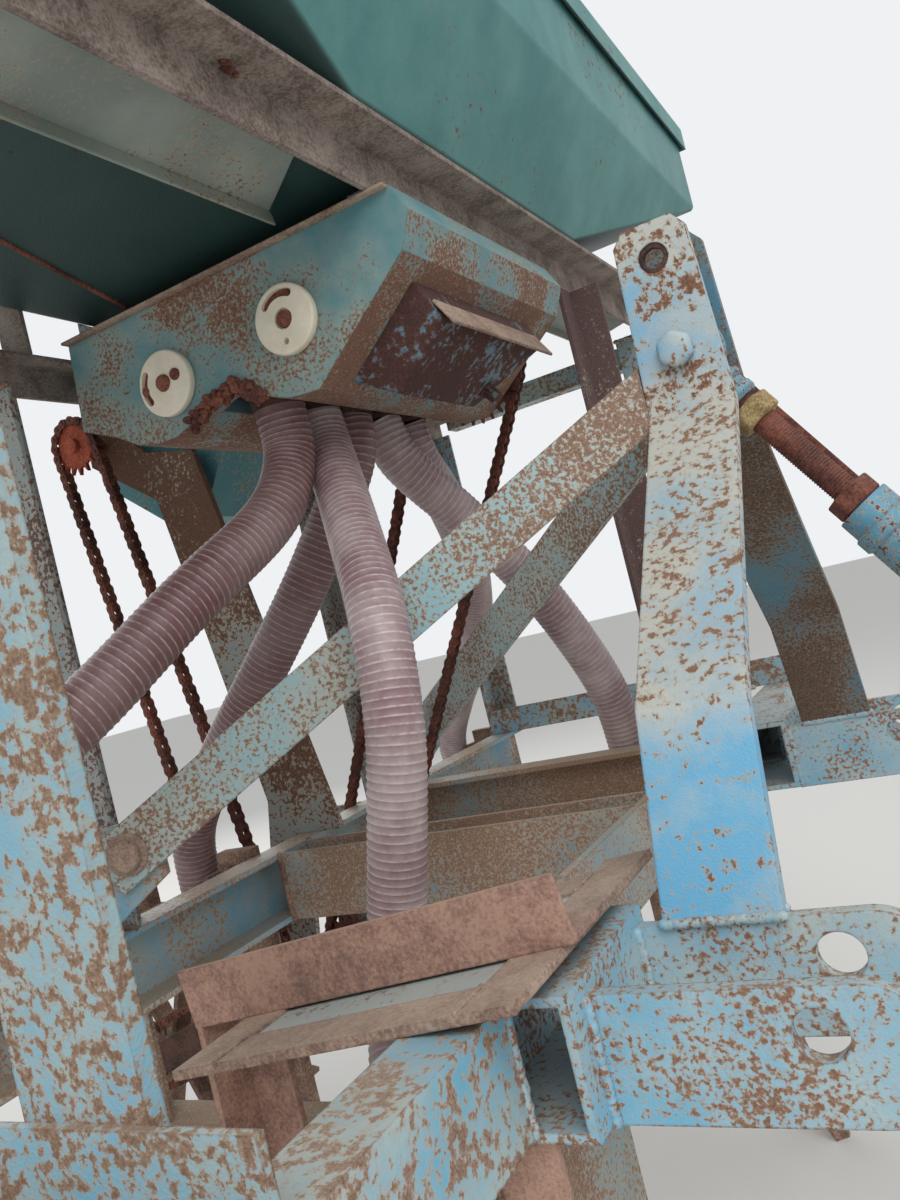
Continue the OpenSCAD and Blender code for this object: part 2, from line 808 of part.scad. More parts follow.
// Lugged steel wheel with its sprocket
module ground_wheel() {
    y0 = wheel_y - wheel_w / 2;
    y1 = wheel_y + wheel_w / 2;
    color(rust) {
        translate([wheel_x, 0, wheel_z]) {
            side_plate(y0, y1) difference() {
                circle(r = wheel_r, $fn = 72);
                circle(r = wheel_r - 6, $fn = 72);
            }
            side_plate(wheel_chain_y - 6, y1 + 3) difference() {
                circle(d = 56);
                circle(d = axle_d);
            }
            for (i = [0:7]) rotate([0, (i + 0.5) * 45, 0])
            block([20, wheel_y - 15, -4], [wheel_r - 4, wheel_y + 15, 4]);
            for (i = [0:lug_count - 1]) rotate([0, (i + 0.5) * 360 / lug_count, 0])
            block([wheel_r - 3, y0 + 1, -3], [wheel_r + lug_h, y1 - 1, 3]);
        }
        sprocket(wheel_x, wheel_z, counter_teeth, wheel_chain_y,
                 line_angle(counter_c, wheel_c), 40);
    }
}

// Smooth curve through the points of a route
function spline(r, u) =
    let(last = len(r) - 1, i = min(floor(u), last - 1), t = u - i)
    let(a = r[max(i - 1, 0)], b = r[i], c = r[i + 1], d = r[min(i + 2, last)])
    0.5 * (2 * b + (c - a) * t + (2 * a - 5 * b + 4 * c - d) * t * t
           + (3 * b - 3 * c + d - a) * t * t * t);

function down_or_along(pts, i) =
    i == 0 || i == len(pts) - 1 ? [0, 0, -1] : unit(pts[i + 1] - pts[i - 1]);

function ring(p, t, n) =
    let(m = cross(t, n))
    [for (k = [0:hose_sides - 1]) let(a = k * 360 / hose_sides)
        p + hose_d / 2 * (cos(a) * n + sin(a) * m)];

// Rings along the curve, each turned as little as possible from the one before
function rings(pts, i, n) =
    i == len(pts) ? [] :
    let(t = down_or_along(pts, i), m = unit(n - t * (n * t)))
    concat(ring(pts[i], t, m), rings(pts, i + 1, m));

// Seed hose swept along its route
module hose(route) {
    count = hose_rings;
    pts = [for (k = [0:count - 1]) spline(route, k * (len(route) - 1) / (count - 1))];
    skin = rings(pts, 0, [1, 0, 0]);
    sides = hose_sides;
    color(hose_colour) polyhedron(skin, concat(
        [[for (k = [0:sides - 1]) k]],
        [for (j = [0:count - 2]) for (k = [0:sides - 1])
            let(a = j * sides + k, b = j * sides + (k + 1) % sides)
            [a, a + sides, b + sides, b]],
        [[for (k = [sides - 1:-1:0]) (count - 1) * sides + k]]
    ), 4);
}

module hose_1() {
    hose(routes[0]);
}

module hose_2() {
    hose(routes[1]);
}

module hose_3() {
    hose(routes[2]);
}

module hose_4() {
    hose(routes[3]);
}

module hose_5() {
    hose(routes[4]);
}

// Tine: shank with its front edge at x, clamp, pointed share and the seed boot behind it
module tine(row) {
    x = row[0];
    y = row[1];
    top = row[2];
    boot_top = row[3];
    clamp_y = row[4];
    boot_x = x - shank_w - boot_back;
    color(rust) {
        side_plate(y - shank_t / 2, y + shank_t / 2)
        polygon([
            [x - shank_w, top], [x, top], [x, 200], [x + 6, 150], [x + 30, 80], [x + 2, 60],
            [x - shank_w + 6, 110], [x - shank_w, 160]
        ]);
        intersection() {
            side_plate(y - 35, y + 35)
            polygon([[x + 2, 170], [x + 10, 175], [x + 62, 0], [x + 48, 0], [x + 24, 70]]);
            translate([x + 62, y, -1]) linear_extrude(200)
            polygon([[0, -4], [0, 4], [-34, 30], [-80, 34], [-80, -34], [-34, -30]]);
        }
        difference() {
            translate([boot_x, y, 70]) cylinder(d = boot_d, h = boot_top - 70);
            translate([boot_x, y, 69]) cylinder(d = boot_d - 8, h = boot_top - 100);
        }
        translate([boot_x, y, boot_top - 24]) cylinder(d = hose_d + 5, h = 24);
        for (z = [130, boot_top - 90]) block([boot_x, y - 4, z], [x - shank_w + 5, y + 4, z + 30]);
        if (clamp_y != 0)
        block([x - shank_w - 4, min(y, clamp_y), row[5]], [x + 4, max(y, clamp_y), row[5] + 55]);
        else block([x - shank_w - 8, y - 30, row[5]], [x - shank_w, y + 30, row[5] + 55]);
    }
}

module tine_1() {
    tine(tine_rows[0]);
}

module tine_2() {
    tine(tine_rows[1]);
}

module tine_3() {
    tine(tine_rows[2]);
}

module tine_4() {
    tine(tine_rows[3]);
}

module tine_5() {
    tine(tine_rows[4]);
}

// Height of the hopper's rear slope at x
function hopper_bottom_z(x) =
    bottom_ridge.y + (fold_z - bottom_ridge.y) * (x - bottom_ridge.x) / (hopper_back - bottom_ridge.x);

// Corners of the hopper, inset by t, up to the height top
function hopper_points(t, top) = [
    for (z = [top, fold_z + t / 2])
        for (c = [[hopper_front - t, -1], [hopper_front - t, 1], [hopper_back + t, 1],
                  [hopper_back + t, -1]]) [c[0], c[1] * (hopper_half - t), z],
    for (p = [bottom_front, bottom_step, bottom_ridge])
        for (s = [-1, 1]) [p.x, s * (bottom_half - t / 2), p.y + 1.2 * t]
];

module hopper_form(t, top) {
    polyhedron(hopper_points(t, top), [
        [3, 2, 1, 0], [0, 1, 5, 4], [1, 2, 6, 5], [2, 3, 7, 6], [3, 0, 4, 7],
        [4, 5, 9, 8], [8, 9, 11, 10], [10, 11, 13, 12], [6, 7, 12, 13],
        [5, 6, 13], [5, 13, 11], [5, 11, 9], [7, 4, 12], [4, 10, 12], [4, 8, 10]
    ]);
}

module hopper() {
    color(teal) {
        difference() {
            hopper_form(0, hopper_top);
            hopper_form(sheet_t, hopper_top + 1);
        }
        for (side = [-1, 1]) {
            bar_y(hinge_x, hinge_z, hinge_d - 2 * run_gap, side * hinge_y - 23, side * hinge_y + 23);
            for (y = [side * hinge_y - 23, side * hinge_y + 17]) side_plate(y, y + 6) {
                translate([hinge_x, hinge_z]) circle(d = 16);
                translate([hinge_x - 8, hinge_z - 50]) square([17, 50]);
            }
        }
    }
}

module hopper_lid() {
    gap = 5;
    x0 = hopper_back;
    x1 = hopper_front + gap + sheet_t;
    half = hopper_half + gap + sheet_t;
    z0 = hopper_top + seat_gap;
    color(teal) {
        difference() {
            block([x0, -half, z0 - lid_rim], [x1, half, z0 + sheet_t]);
            block([x0 - 1, -half + sheet_t, z0 - lid_rim - 1], [x1 - sheet_t, half - sheet_t, z0]);
        }
        for (side = [-1, 1]) {
            difference() {
                bar_y(hinge_x, hinge_z, 16, side * hinge_y - 15, side * hinge_y + 15);
                bar_y(hinge_x, hinge_z, hinge_d, side * hinge_y - 16, side * hinge_y + 16);
            }
            block([hinge_x + 5, side * hinge_y - 15, z0 + sheet_t],
                  [hinge_x + 90, side * hinge_y + 15, z0 + sheet_t + 4]);
        }
    }
}

// Ball eye of the top link at the origin, with its bore along Y
module link_eye() {
    difference() {
        union() {
            intersection() {
                sphere(d = 50);
                bar_y(0, 0, 60, -18, 18);
            }
            rotate([0, 90, 0]) cylinder(d = 32, h = 52);
        }
        bar_y(0, 0, mast_pin_d, -19, 19);
    }
}

// Top link hanging forward from its pin in the mast
module top_link() {
    color(rust) translate([mast_pin.x, 0, mast_pin.y]) rotate([0, link_tilt, 0]) {
        link_eye();
        translate([link_length, 0, 0]) mirror([1, 0, 0]) link_eye();
        translate([45, 0, 0]) rotate([0, 90, 0]) cylinder(d = link_rod_d, h = link_length - 90);
        translate([72, 0, 0]) rotate([0, 90, 0]) cylinder(d = 42, h = 20);
        translate([tube_start, 0, 0]) rotate([0, 90, 0])
        cylinder(d = link_tube_d, h = tube_end - tube_start);
    }
}

translate([-hitch_x, 0, -hitch_z]) {
    rear_channel();
    centre_member();
    side_member_left();
    side_member_right();
    end_frame_right();
    end_frame_left();
    posts();
    upper_front_beam();
    upper_rear_beam();
    hitch_right();
    hitch_left();
    mast_bar_right();
    mast_bar_left();
    mast_bolts();
    brace_right();
    brace_left();
    step();
    stand();
    front_tubes();
    metering_housing();
    seed_outlets();
    bearing_discs();
    metering_rotor();
    drive_upright();
    feed_rotor();
    feed_box();
    countershaft();
    chain_metering();
    chain_feed();
    chain_wheel();
    wheel_arm();
    ground_wheel();
    hose_1();
    hose_2();
    hose_3();
    hose_4();
    hose_5();
    tine_1();
    tine_2();
    tine_3();
    tine_4();
    tine_5();
    hopper();
    hopper_lid();
    top_link();
}
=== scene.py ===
"""Looks of a five-row tractor-mounted seed drill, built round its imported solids.

The classes draw in metres from the ground up, X forward to the tractor and Y to the
machine's left, with X = 0 at the front faces of the hitch stubs. Bench.finish then moves
each piece so that the origin is the middle of the lower hitch axis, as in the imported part.
"""

import logging
import math
import random
from dataclasses import dataclass, field
from enum import Enum

import bpy
from mathutils import Matrix, Vector


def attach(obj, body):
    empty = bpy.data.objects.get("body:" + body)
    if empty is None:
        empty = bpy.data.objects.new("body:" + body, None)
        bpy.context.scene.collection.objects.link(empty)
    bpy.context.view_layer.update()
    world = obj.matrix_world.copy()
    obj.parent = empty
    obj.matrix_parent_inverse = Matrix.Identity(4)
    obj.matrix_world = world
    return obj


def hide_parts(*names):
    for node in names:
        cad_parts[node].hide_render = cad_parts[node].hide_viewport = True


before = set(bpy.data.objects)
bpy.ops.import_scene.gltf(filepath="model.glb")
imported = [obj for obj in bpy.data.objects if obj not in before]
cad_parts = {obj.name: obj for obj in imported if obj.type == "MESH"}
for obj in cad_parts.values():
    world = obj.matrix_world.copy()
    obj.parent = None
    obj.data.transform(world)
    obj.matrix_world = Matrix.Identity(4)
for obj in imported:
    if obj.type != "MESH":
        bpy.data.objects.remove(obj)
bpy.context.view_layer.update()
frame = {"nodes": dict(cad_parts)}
LOG = logging.getLogger("seed_drill")
ORIGIN = Vector((0.119, 0.0, 0.480))

Point = tuple[float, float, float]
Flat = tuple[float, float]
Piece = bpy.types.Object
Material = bpy.types.Material
Node = bpy.types.Node
Socket = bpy.types.NodeSocket

# Faces of a six-sided block whose corners are a ring of four and the ring above it.
SIX_FACES = [(0, 1, 2, 3), (7, 6, 5, 4), (0, 4, 5, 1), (1, 5, 6, 2), (2, 6, 7, 3), (3, 7, 4, 0)]


class Side(Enum):
    """The two sides of the machine, as the sign of Y."""

    RIGHT = -1
    LEFT = 1


class Slot(Enum):
    """Material slots of the record."""

    BLUE = "paint_blue"
    TEAL = "paint_teal"
    RUSTY = "rusty_steel"
    CHAIN = "dark_chain"
    RED_IRON = "red_iron"
    NYLON = "nylon"
    HOSE = "hose_plastic"


def linear(colour: str) -> tuple[float, float, float, float]:
    """Turns an sRGB hex colour to linear.

    Args:
        colour: The colour as #rrggbb.

    Returns:
        Red, green, blue and an alpha of 1.
    """
    parts = [int(colour[i : i + 2], 16) / 255 for i in (1, 3, 5)]
    r, g, b = (c / 12.92 if c <= 0.04045 else ((c + 0.055) / 1.055) ** 2.4 for c in parts)
    return r, g, b, 1.0


def grey(value: float) -> tuple[float, float, float, float]:
    """A grey stop of a ramp."""
    return value, value, value, 1.0


class Graph:
    """A material's node tree, filled one node at a time."""

    def __init__(self, name: str) -> None:
        """Starts an empty material.

        Args:
            name: The material's name.
        """
        self.material = bpy.data.materials.new(name)
        self.material.use_nodes = True
        self.tree = self.material.node_tree
        self.tree.nodes.clear()

    def add(self, kind: str, settings: dict | None = None, **inputs: object) -> Node:
        """Adds one node.

        Args:
            kind: The node's Blender type, without ShaderNode.
            settings: Properties of the node, and a colour ramp's stops under "stops".
            **inputs: Values, or sockets to link, by input name with _ for a space, or i and a number.

        Returns:
            The new node.
        """
        made = self.tree.nodes.new("ShaderNode" + kind)
        for key, value in (settings or {}).items():
            if key == "stops":
                elements = made.color_ramp.elements
                elements.remove(elements[-1])
                elements[0].position, elements[0].color = value[0]
                for place, colour in value[1:]:
                    elements.new(place).color = colour
            else:
                setattr(made, key, value)
        for key, value in inputs.items():
            by_number = key[0] == "i" and key[1:].isdigit()
            socket = made.inputs[int(key[1:]) if by_number else key.replace("_", " ")]
            if isinstance(value, Socket):
                self.tree.links.new(value, socket)
            else:
                socket.default_value = value
        return made

    def spread(self, value: Socket, low: float, high: float, at_low: float, at_high: float) -> Socket:
        """Maps low to high onto at_low to at_high, and stops at the ends."""
        return self.add("MapRange", i0=value, i1=low, i2=high, i3=at_low, i4=at_high).outputs[0]

    def total(self, *values: Socket) -> Socket:
        """Adds values up.

        Args:
            *values: The values.

        Returns:
            Their sum.
        """
        result = values[0]
        for value in values[1:]:
            result = self.add("Math", {"operation": "ADD"}, i0=result, i1=value).outputs[0]
        return result

    def mix(self, share: Socket, first: object, second: object) -> Socket:
        """Mixes two colours or sockets; share is how much of the second shows."""
        return self.add("MixRGB", Fac=share, Color1=first, Color2=second).outputs[0]


@dataclass(frozen=True)
class Drift:
    """A share that changes along one axis of the machine, as pairs of place and shift."""

    axis: int
    stops: tuple[Flat, ...]

    def lay(self, g: Graph, place: Socket) -> Socket:
        """Adds the drift to a material.

        Args:
            g: The material.
            place: Object coordinates.

        Returns:
            The shift at each place.
        """
        low, high = self.stops[0][0], self.stops[-1][0]
        split = g.add("SeparateXYZ", i0=place).outputs[self.axis]
        share = g.spread(split, low - ORIGIN[self.axis], high - ORIGIN[self.axis], 0.0, 1.0)
        stops = [((at - low) / (high - low), grey(0.5 + shift)) for at, shift in self.stops]
        ramp = g.add("ValToRGB", {"stops": stops}, Fac=share)
        return g.add("Math", {"operation": "SUBTRACT"}, i0=ramp.outputs[0], i1=0.5).outputs[0]


@dataclass(frozen=True)
class WornEnamel:
    """Enamel brushed on rolled steel: satin and chalky, with rust that breaks through in specks."""

    name: str
    paint: str
    faded: str
    rust: str
    deep: str
    stain: str = "#b3a48f"
    cover: float = 0.58
    patch: float = 0.06
    patch_mm: float = 70.0
    speck_mm: float = 5.0
    edge: float = 0.10
    under: float = 0.0
    drift: Drift | None = None
    fade: Drift | None = None
    dust: str = "#a39581"
    dust_share: float = 0.35
    # Colour of painted shade on faces that look down; none when empty.
    shade_and_grime: str = ""
    grain_mm: float = 5 / 3
    tone_mm: float = 90.91
    dirt_mm: float = 66.67
    stain_band: float = 0.09
    rust_band: float = 0.03
    deep_band: float = 0.13

    def build(self) -> Material:
        """Builds the material.

        Returns:
            The enamel, stained round its rust specks, with dust on what faces up, and, with a shade
            colour, painted shade on what faces down.
        """
        g = Graph(self.name)
        place = g.add("TexCoord").outputs["Object"]
        normal = g.add("NewGeometry").outputs["Normal"]
        bevel = g.add("Bevel", {"samples": 4}, Radius=0.0025).outputs[0]
        level = g.add("VectorMath", {"operation": "DOT_PRODUCT"}, i0=bevel, i1=normal)
        speck = g.add("TexNoise", Vector=place, Scale=1000 / self.speck_mm, Detail=4.0, Roughness=0.6)
        patch = g.add("TexNoise", Vector=place, Scale=1000 / self.patch_mm, Detail=3.0)
        grain = g.add("TexNoise", Vector=place, Scale=1000 / self.grain_mm, Detail=2.0)
        up = g.add("SeparateXYZ", i0=normal).outputs[2]
        shares = [speck.outputs[0],
                  g.spread(patch.outputs[0], 0.3, 0.7, -2 * self.patch, 2 * self.patch),
                  g.spread(level.outputs["Value"], 0.99, 0.8, 0.0, self.edge),
                  g.spread(grain.outputs[0], 0.3, 0.7, -0.02, 0.02)]
        if self.under:
            shares.append(g.spread(up, -0.25, -0.6, 0.0, self.under))
        if self.drift:
            shares.append(self.drift.lay(g, place))
        amount = g.total(*shares)
        tone = g.add("TexNoise", Vector=place, Scale=1000 / self.tone_mm, Detail=5.0, Roughness=0.6)
        fading = [g.spread(tone.outputs[0], 0.36, 0.66, 0.0, 1.0)]
        if self.fade:
            fading.append(self.fade.lay(g, place))
        paint = g.mix(g.total(*fading), linear(self.paint), linear(self.faded))
        stained = g.spread(amount, self.cover - self.stain_band, self.cover, 0.0, 0.75)
        rusted = g.spread(amount, self.cover - 0.004, self.cover + self.rust_band, 0.0, 1.0)
        depth = g.total(g.spread(amount, self.cover, self.cover + self.deep_band, 0.0, 0.6),
                        g.spread(grain.outputs[0], 0.35, 0.65, -0.25, 0.4))
        rust = g.mix(depth, linear(self.rust), linear(self.deep))
        colour = g.mix(rusted, g.mix(stained, paint, linear(self.stain)), rust)
        dirt = g.add("TexNoise", Vector=place, Scale=1000 / self.dirt_mm, Detail=7.0, Roughness=0.7)
        settled = g.add("Math", {"operation": "MULTIPLY"}, i0=g.spread(up, 0.5, 0.95, 0.0, 1.0),
                        i1=g.spread(dirt.outputs[0], 0.35, 0.6, self.dust_share * 0.5, self.dust_share))
        colour = g.mix(settled.outputs[0], colour, linear(self.dust))
        # Painted shade: faces that look down turn towards the shade colour, most when facing straight
        # down.
        if self.shade_and_grime:
            colour = g.mix(g.spread(up, -0.7, -0.93, 0.0, 0.85), colour, linear(self.shade_and_grime))
        height = g.add("Math", {"operation": "MULTIPLY_ADD"}, i0=rusted, i1=0.5, i2=grain.outputs[0])
        bump = g.add("Bump", Strength=0.5, Distance=0.0007, Height=height.outputs[0], Normal=bevel)
        shader = g.add("BsdfPrincipled", Base_Color=colour, Normal=bump.outputs[0],
                       Roughness=g.spread(rusted, 0.0, 1.0, 0.52, 0.92))
        g.add("OutputMaterial", Surface=shader.outputs[0])
        return g.material


@dataclass(frozen=True)
class BareRust:
    """Mild steel left to rust: matt and grainy, with paler dust and darker scale."""

    name: str
    light: str
    mid: str
    dark: str
    grain_mm: float = 2.5
    cloud_mm: float = 41.67
    dust: str = "#a3927e"
    dust_share: float = 0.35

    def build(self) -> Material:
        """Builds the material.

        Returns:
            The rust, in three tones, with a coarse bump.
        """
        g = Graph(self.name)
        place = g.add("TexCoord").outputs["Object"]
        normal = g.add("NewGeometry").outputs["Normal"]
        bevel = g.add("Bevel", {"samples": 4}, Radius=0.002).outputs[0]
        wide = g.add("TexNoise", Vector=place, Scale=1000 / self.cloud_mm, Detail=7.0, Roughness=0.7)
        grain = g.add("TexNoise", Vector=place, Scale=1000 / self.grain_mm, Detail=3.0, Roughness=0.6)
        blend = g.add("Math", {"operation": "MULTIPLY_ADD"}, i0=grain.outputs[0], i1=0.7,
                      i2=wide.outputs[0]).outputs[0]
        stops = [(0.68, linear(self.dark)), (0.84, linear(self.mid)), (0.99, linear(self.light))]
        tones = g.add("ValToRGB", {"stops": stops}, Fac=blend).outputs[0]
        up = g.add("SeparateXYZ", i0=normal).outputs[2]
        colour = g.mix(g.spread(up, 0.4, 0.95, 0.0, self.dust_share), tones, linear(self.dust))
        bump = g.add("Bump", Strength=0.6, Distance=0.001, Height=blend, Normal=bevel)
        shader = g.add("BsdfPrincipled", Base_Color=colour, Roughness=0.92, Normal=bump.outputs[0])
        g.add("OutputMaterial", Surface=shader.outputs[0])
        return g.material


@dataclass(frozen=True)
class AgedPlastic:
    """Moulded plastic gone dull outdoors: a low sheen with grime in its hollows."""

    name: str
    body: str
    shade_and_grime: str
    roughness: float = 0.5
    grime_share: float = 0.6
    # Colour of the rib crests: dust and wear, with a painted highlight.
    ring: str = ""
    cloud_mm: float = 76.92
    fleck_mm: float = 5.263
    grit_mm: float = 10 / 3

    def build(self) -> Material:
        """Builds the material.

        Returns:
            The plastic; with a ring colour its spiral rib is paler, by the crest attribute.
        """
        g = Graph(self.name)
        place = g.add("TexCoord").outputs["Object"]
        wide = g.add("TexNoise", Vector=place, Scale=1000 / self.cloud_mm, Detail=7.0, Roughness=0.7)
        dirt = g.spread(wide.outputs[0], 0.38, 0.66, 0.0, self.grime_share)
        colour = g.mix(dirt, linear(self.body), linear(self.shade_and_grime))
        # Paler crests of the spiral rib: dust and wear, with a painted highlight.
        if self.ring:
            crest = g.add("Attribute", {"attribute_name": "crest"}).outputs["Fac"]
            fleck = g.add("TexNoise", Vector=place, Scale=1000 / self.fleck_mm, Detail=3.0).outputs[0]
            crest_dust_and_highlight = g.add("Math", {"operation": "MULTIPLY"}, i0=g.spread(crest, 0.4, 1.0, 0.0, 1.0),
                         i1=g.spread(fleck, 0.35, 0.6, 0.25, 0.9)).outputs[0]
            colour = g.mix(crest_dust_and_highlight, colour, linear(self.ring))
        fine = g.add("TexNoise", Vector=place, Scale=1000 / self.grit_mm, Detail=3.0).outputs[0]
        bump = g.add("Bump", Strength=0.2, Distance=0.0005, Height=fine)
        shader = g.add("BsdfPrincipled", Base_Color=colour, Roughness=self.roughness,
                       Normal=bump.outputs[0])
        g.add("OutputMaterial", Surface=shader.outputs[0])
        return g.material


class Palette:
    """Every finish of the machine, built once."""

    def __init__(self) -> None:
        """Builds the materials."""
        mast_rust = Drift(2, ((0.50, -0.10), (0.585, -0.085), (0.63, 0.0), (0.84, 0.01),
                              (0.862, 0.05), (0.885, 0.04), (0.893, -0.08), (0.925, -0.06),
                              (0.945, 0.035), (1.013, 0.05)))
        mast_fade = Drift(2, ((0.50, -0.45), (0.59, -0.3), (0.65, 0.45), (0.86, 0.45),
                              (0.90, -0.1), (0.95, 0.1), (1.01, 0.3)))
        # Brushed alkyd enamel gone chalky: soft sheen, pale where rubbed, fine tan specks.
        self.blue = WornEnamel("sky_blue_enamel", "#74b2ce", "#b4c2c2", "#9d7b66", "#755948",
                               stain="#b0a08e", cover=0.575, patch=0.05, patch_mm=60,
                               speck_mm=4.2).build()
        # The same enamel in the sun: clean at the foot and the pin, bleached and blotched between.
        self.mast = WornEnamel("mast_blue_enamel", "#6db0d4", "#bfc2bb", "#956f58", "#664a3c",
                               cover=0.575, patch=0.035, patch_mm=35, speck_mm=6.5,
                               drift=mast_rust, fade=mast_fade).build()
        # Enamel bleached to grey-green, thickly specked, nearly all rust at the upper ends.
        self.brace = WornEnamel("greyed_blue_enamel", "#8fbcc6", "#b0bcb6", "#a08370", "#7b6253",
                                cover=0.52, patch=0.03, patch_mm=45, speck_mm=3.6,
                                drift=Drift(0, ((-0.47, -0.02), (-0.2, -0.02), (-0.08, 0.05),
                                                (0.02, 0.09)))).build()
        # Enamel under settled soil: deep blue in the web, earth on the flange.
        self.channel = WornEnamel("channel_blue_enamel", "#66a0bb", "#a3aeaa", "#b39a87", "#846c5a",
                                  cover=0.52, patch=0.10, patch_mm=120, speck_mm=4.5,
                                  dust="#a5927c", dust_share=0.9).build()
        # Enamel with mottled rust of about 6 mm, matt and two-toned.
        self.frame_end = WornEnamel("mottled_blue_enamel", "#6aa9c6", "#a2b4b2", "#9a806c", "#735a48",
                                    stain="#a99c8c", cover=0.515, patch=0.05, patch_mm=30,
                                    speck_mm=6.0).build()
        # Weathered enamel on square tube, greyed, with rust in long blotches.
        self.tube = WornEnamel("tube_blue_enamel", "#74b0c9", "#b6c0ba", "#a88f7e", "#755b4a",
                               stain="#b3a696", cover=0.53, patch=0.07, patch_mm=40,
                               speck_mm=7.0).build()
        # Enamel mostly gone from the mast bar in shade: brown scale, blue left in islands, all darker
        # as painted shade.
        self.brown_mast = WornEnamel("rusted_mast_enamel_painted_shade", "#3c7b96", "#5b7f88", "#85705f", "#4c3c31",
                                     stain="#7d7162", cover=0.47, patch=0.09, patch_mm=110,
                                     speck_mm=3.0,
                                     drift=Drift(2, ((0.50, 0.10), (0.60, 0.05), (0.70, -0.03),
                                                     (0.80, 0.12), (0.86, -0.05),
                                                     (1.01, -0.03)))).build()
        # Enamel worn to a few blue traces on earthy rust.
        self.member = WornEnamel("rusted_member_enamel", "#5f93a8", "#a0a79f", "#b0947f", "#806653",
                                 cover=0.43, patch=0.08, patch_mm=150, speck_mm=3.0,
                                 dust_share=0.6).build()
        # Grey-blue enamel that turns brown towards the front uprights.
        self.posts = WornEnamel("rusted_post_enamel", "#84989c", "#9aa39e", "#7d6560", "#54423f",
                                cover=0.50, patch=0.05, speck_mm=4.0,
                                drift=Drift(0, ((-0.45, -0.03), (-0.20, 0.2)))).build()
        # Enamel on thin sheet: clean satin teal, with painted shade that darkens what faces the ground.
        self.teal = WornEnamel("teal_sheet_enamel", "#488382", "#629894", "#7a6252", "#54423a",
                               shade_and_grime="#1d2c2a", stain="#6c8480", cover=0.70, patch=0.05,
                               patch_mm=200, speck_mm=9.0, edge=0.05, dust_share=0.15).build()
        # Teal enamel with a band of rust between the discs and a rusty underside.
        self.housing = WornEnamel("teal_plate_enamel", "#5a8e96", "#98aaa3", "#9a7561", "#6c4f42",
                                  stain="#958672", cover=0.625, patch=0.10, patch_mm=90,
                                  speck_mm=3.4, edge=0.18, under=0.24,
                                  drift=Drift(0, ((-0.500, 0.01), (-0.372, 0.0), (-0.338, 0.060),
                                                  (-0.285, 0.075), (-0.250, 0.02), (-0.215, 0.0),
                                                  (-0.095, 0.0)))).build()
        # Weathered grey-green sheet enamel, flat, made paler as painted light for the band lit from the
        # front below the front beam.
        self.apron = WornEnamel("grey_sheet_enamel_painted_light", "#87928a", "#a0aba2", "#a3917f", "#6b5b4e",
                                cover=0.64, patch=0.05, speck_mm=4.0, dust_share=0.2).build()
        # Walked-on enamel: pale grey with dark scratches of rust.
        self.panel = WornEnamel("step_panel_enamel", "#a3b2b2", "#b0b8b5", "#7c6a5c", "#453a34",
                                stain="#a89c8e", cover=0.63, patch=0.06, patch_mm=30,
                                speck_mm=5.0, dust="#a9a59c", dust_share=0.35).build()
        # Enamel flaked from a soaked box: dark maroon scale with blue flakes.
        self.nose = WornEnamel("nose_box_enamel", "#56839b", "#6a8590", "#62403a", "#402b27",
                               stain="#5f4a42", cover=0.41, patch=0.08, patch_mm=50,
                               speck_mm=7.0, edge=0.02).build()
        # Enamel rusted from the top down, grey at the foot.
        self.upright = WornEnamel("rusted_upright_enamel", "#8b9b9b", "#9aa29b", "#8a6753",
                                  "#5d4437", cover=0.46, patch=0.10, patch_mm=160, speck_mm=4.0,
                                  drift=Drift(2, ((0.55, -0.06), (0.70, 0.03),
                                                  (0.85, 0.10)))).build()
        # Enamel on the sheet feed box, teal and nearly whole.
        self.blue_box = WornEnamel("box_teal_enamel", "#3c7f88", "#568f94", "#7d6252", "#523f36",
                                   cover=0.66, patch=0.06, speck_mm=6.0, dust_share=0.25).build()
        # Newer blue enamel on turned steel, chipped.
        self.link_blue = WornEnamel("link_blue_enamel", "#2f7fa0", "#6a9cb0", "#7c5a4b", "#4e3931",
                                    cover=0.58, patch=0.06, speck_mm=4.0).build()
        # Hot-rolled bar rusted evenly: matt, brown, a little dusty.
        self.rust = BareRust("rusted_mild_steel", "#a48a75", "#84695a", "#5a443a").build()
        # Handled and trodden bar: paler, sandy rust.
        self.tan_rust = BareRust("tan_rusted_bar", "#b09a88", "#997f70", "#785f54",
                                 dust="#aa9a88").build()
        # Oiled iron rusted red-brown, with little dust.
        self.red_rust = BareRust("red_rusted_iron", "#8f5745", "#6d4136", "#482a25",
                                 dust_share=0.15).build()
        # Thick scale kept damp: nearly black brown.
        self.dark_rust = BareRust("scaled_dark_steel", "#5f4138", "#44302b", "#2b1f1d",
                                  grain_mm=4.0, dust_share=0.1).build()
        # Bar with a worn red-brown oxide film.
        self.arm_rust = BareRust("red_brown_bar", "#b5927f", "#a07d6e", "#80645a",
                                 dust="#ad9686").build()
        # Angle under old primer: greyish mauve brown.
        self.mauve_rust = BareRust("mauve_brown_steel", "#a0938a", "#877a71", "#645750").build()
        # Freshly rusted iron teeth: orange.
        self.orange_rust = BareRust("orange_rusted_iron", "#bb6346", "#994633", "#6b3127",
                                    dust_share=0.1).build()
        # Yellow zinc passivate on a nut, dulled.
        self.brass_nut = BareRust("yellowed_nut", "#b8a173", "#917b55", "#66543c").build()
        # Chain with dried oil and rust: dark red-brown.
        self.chain = BareRust("rusted_chain", "#85503e", "#633a30", "#3e2621", grain_mm=2.0,
                              dust_share=0.1).build()
        # Cast nylon disc: warm cream, dull sheen, grime in patches.
        self.nylon = AgedPlastic("cast_nylon", "#f6eedb", "#cfc3a8").build()
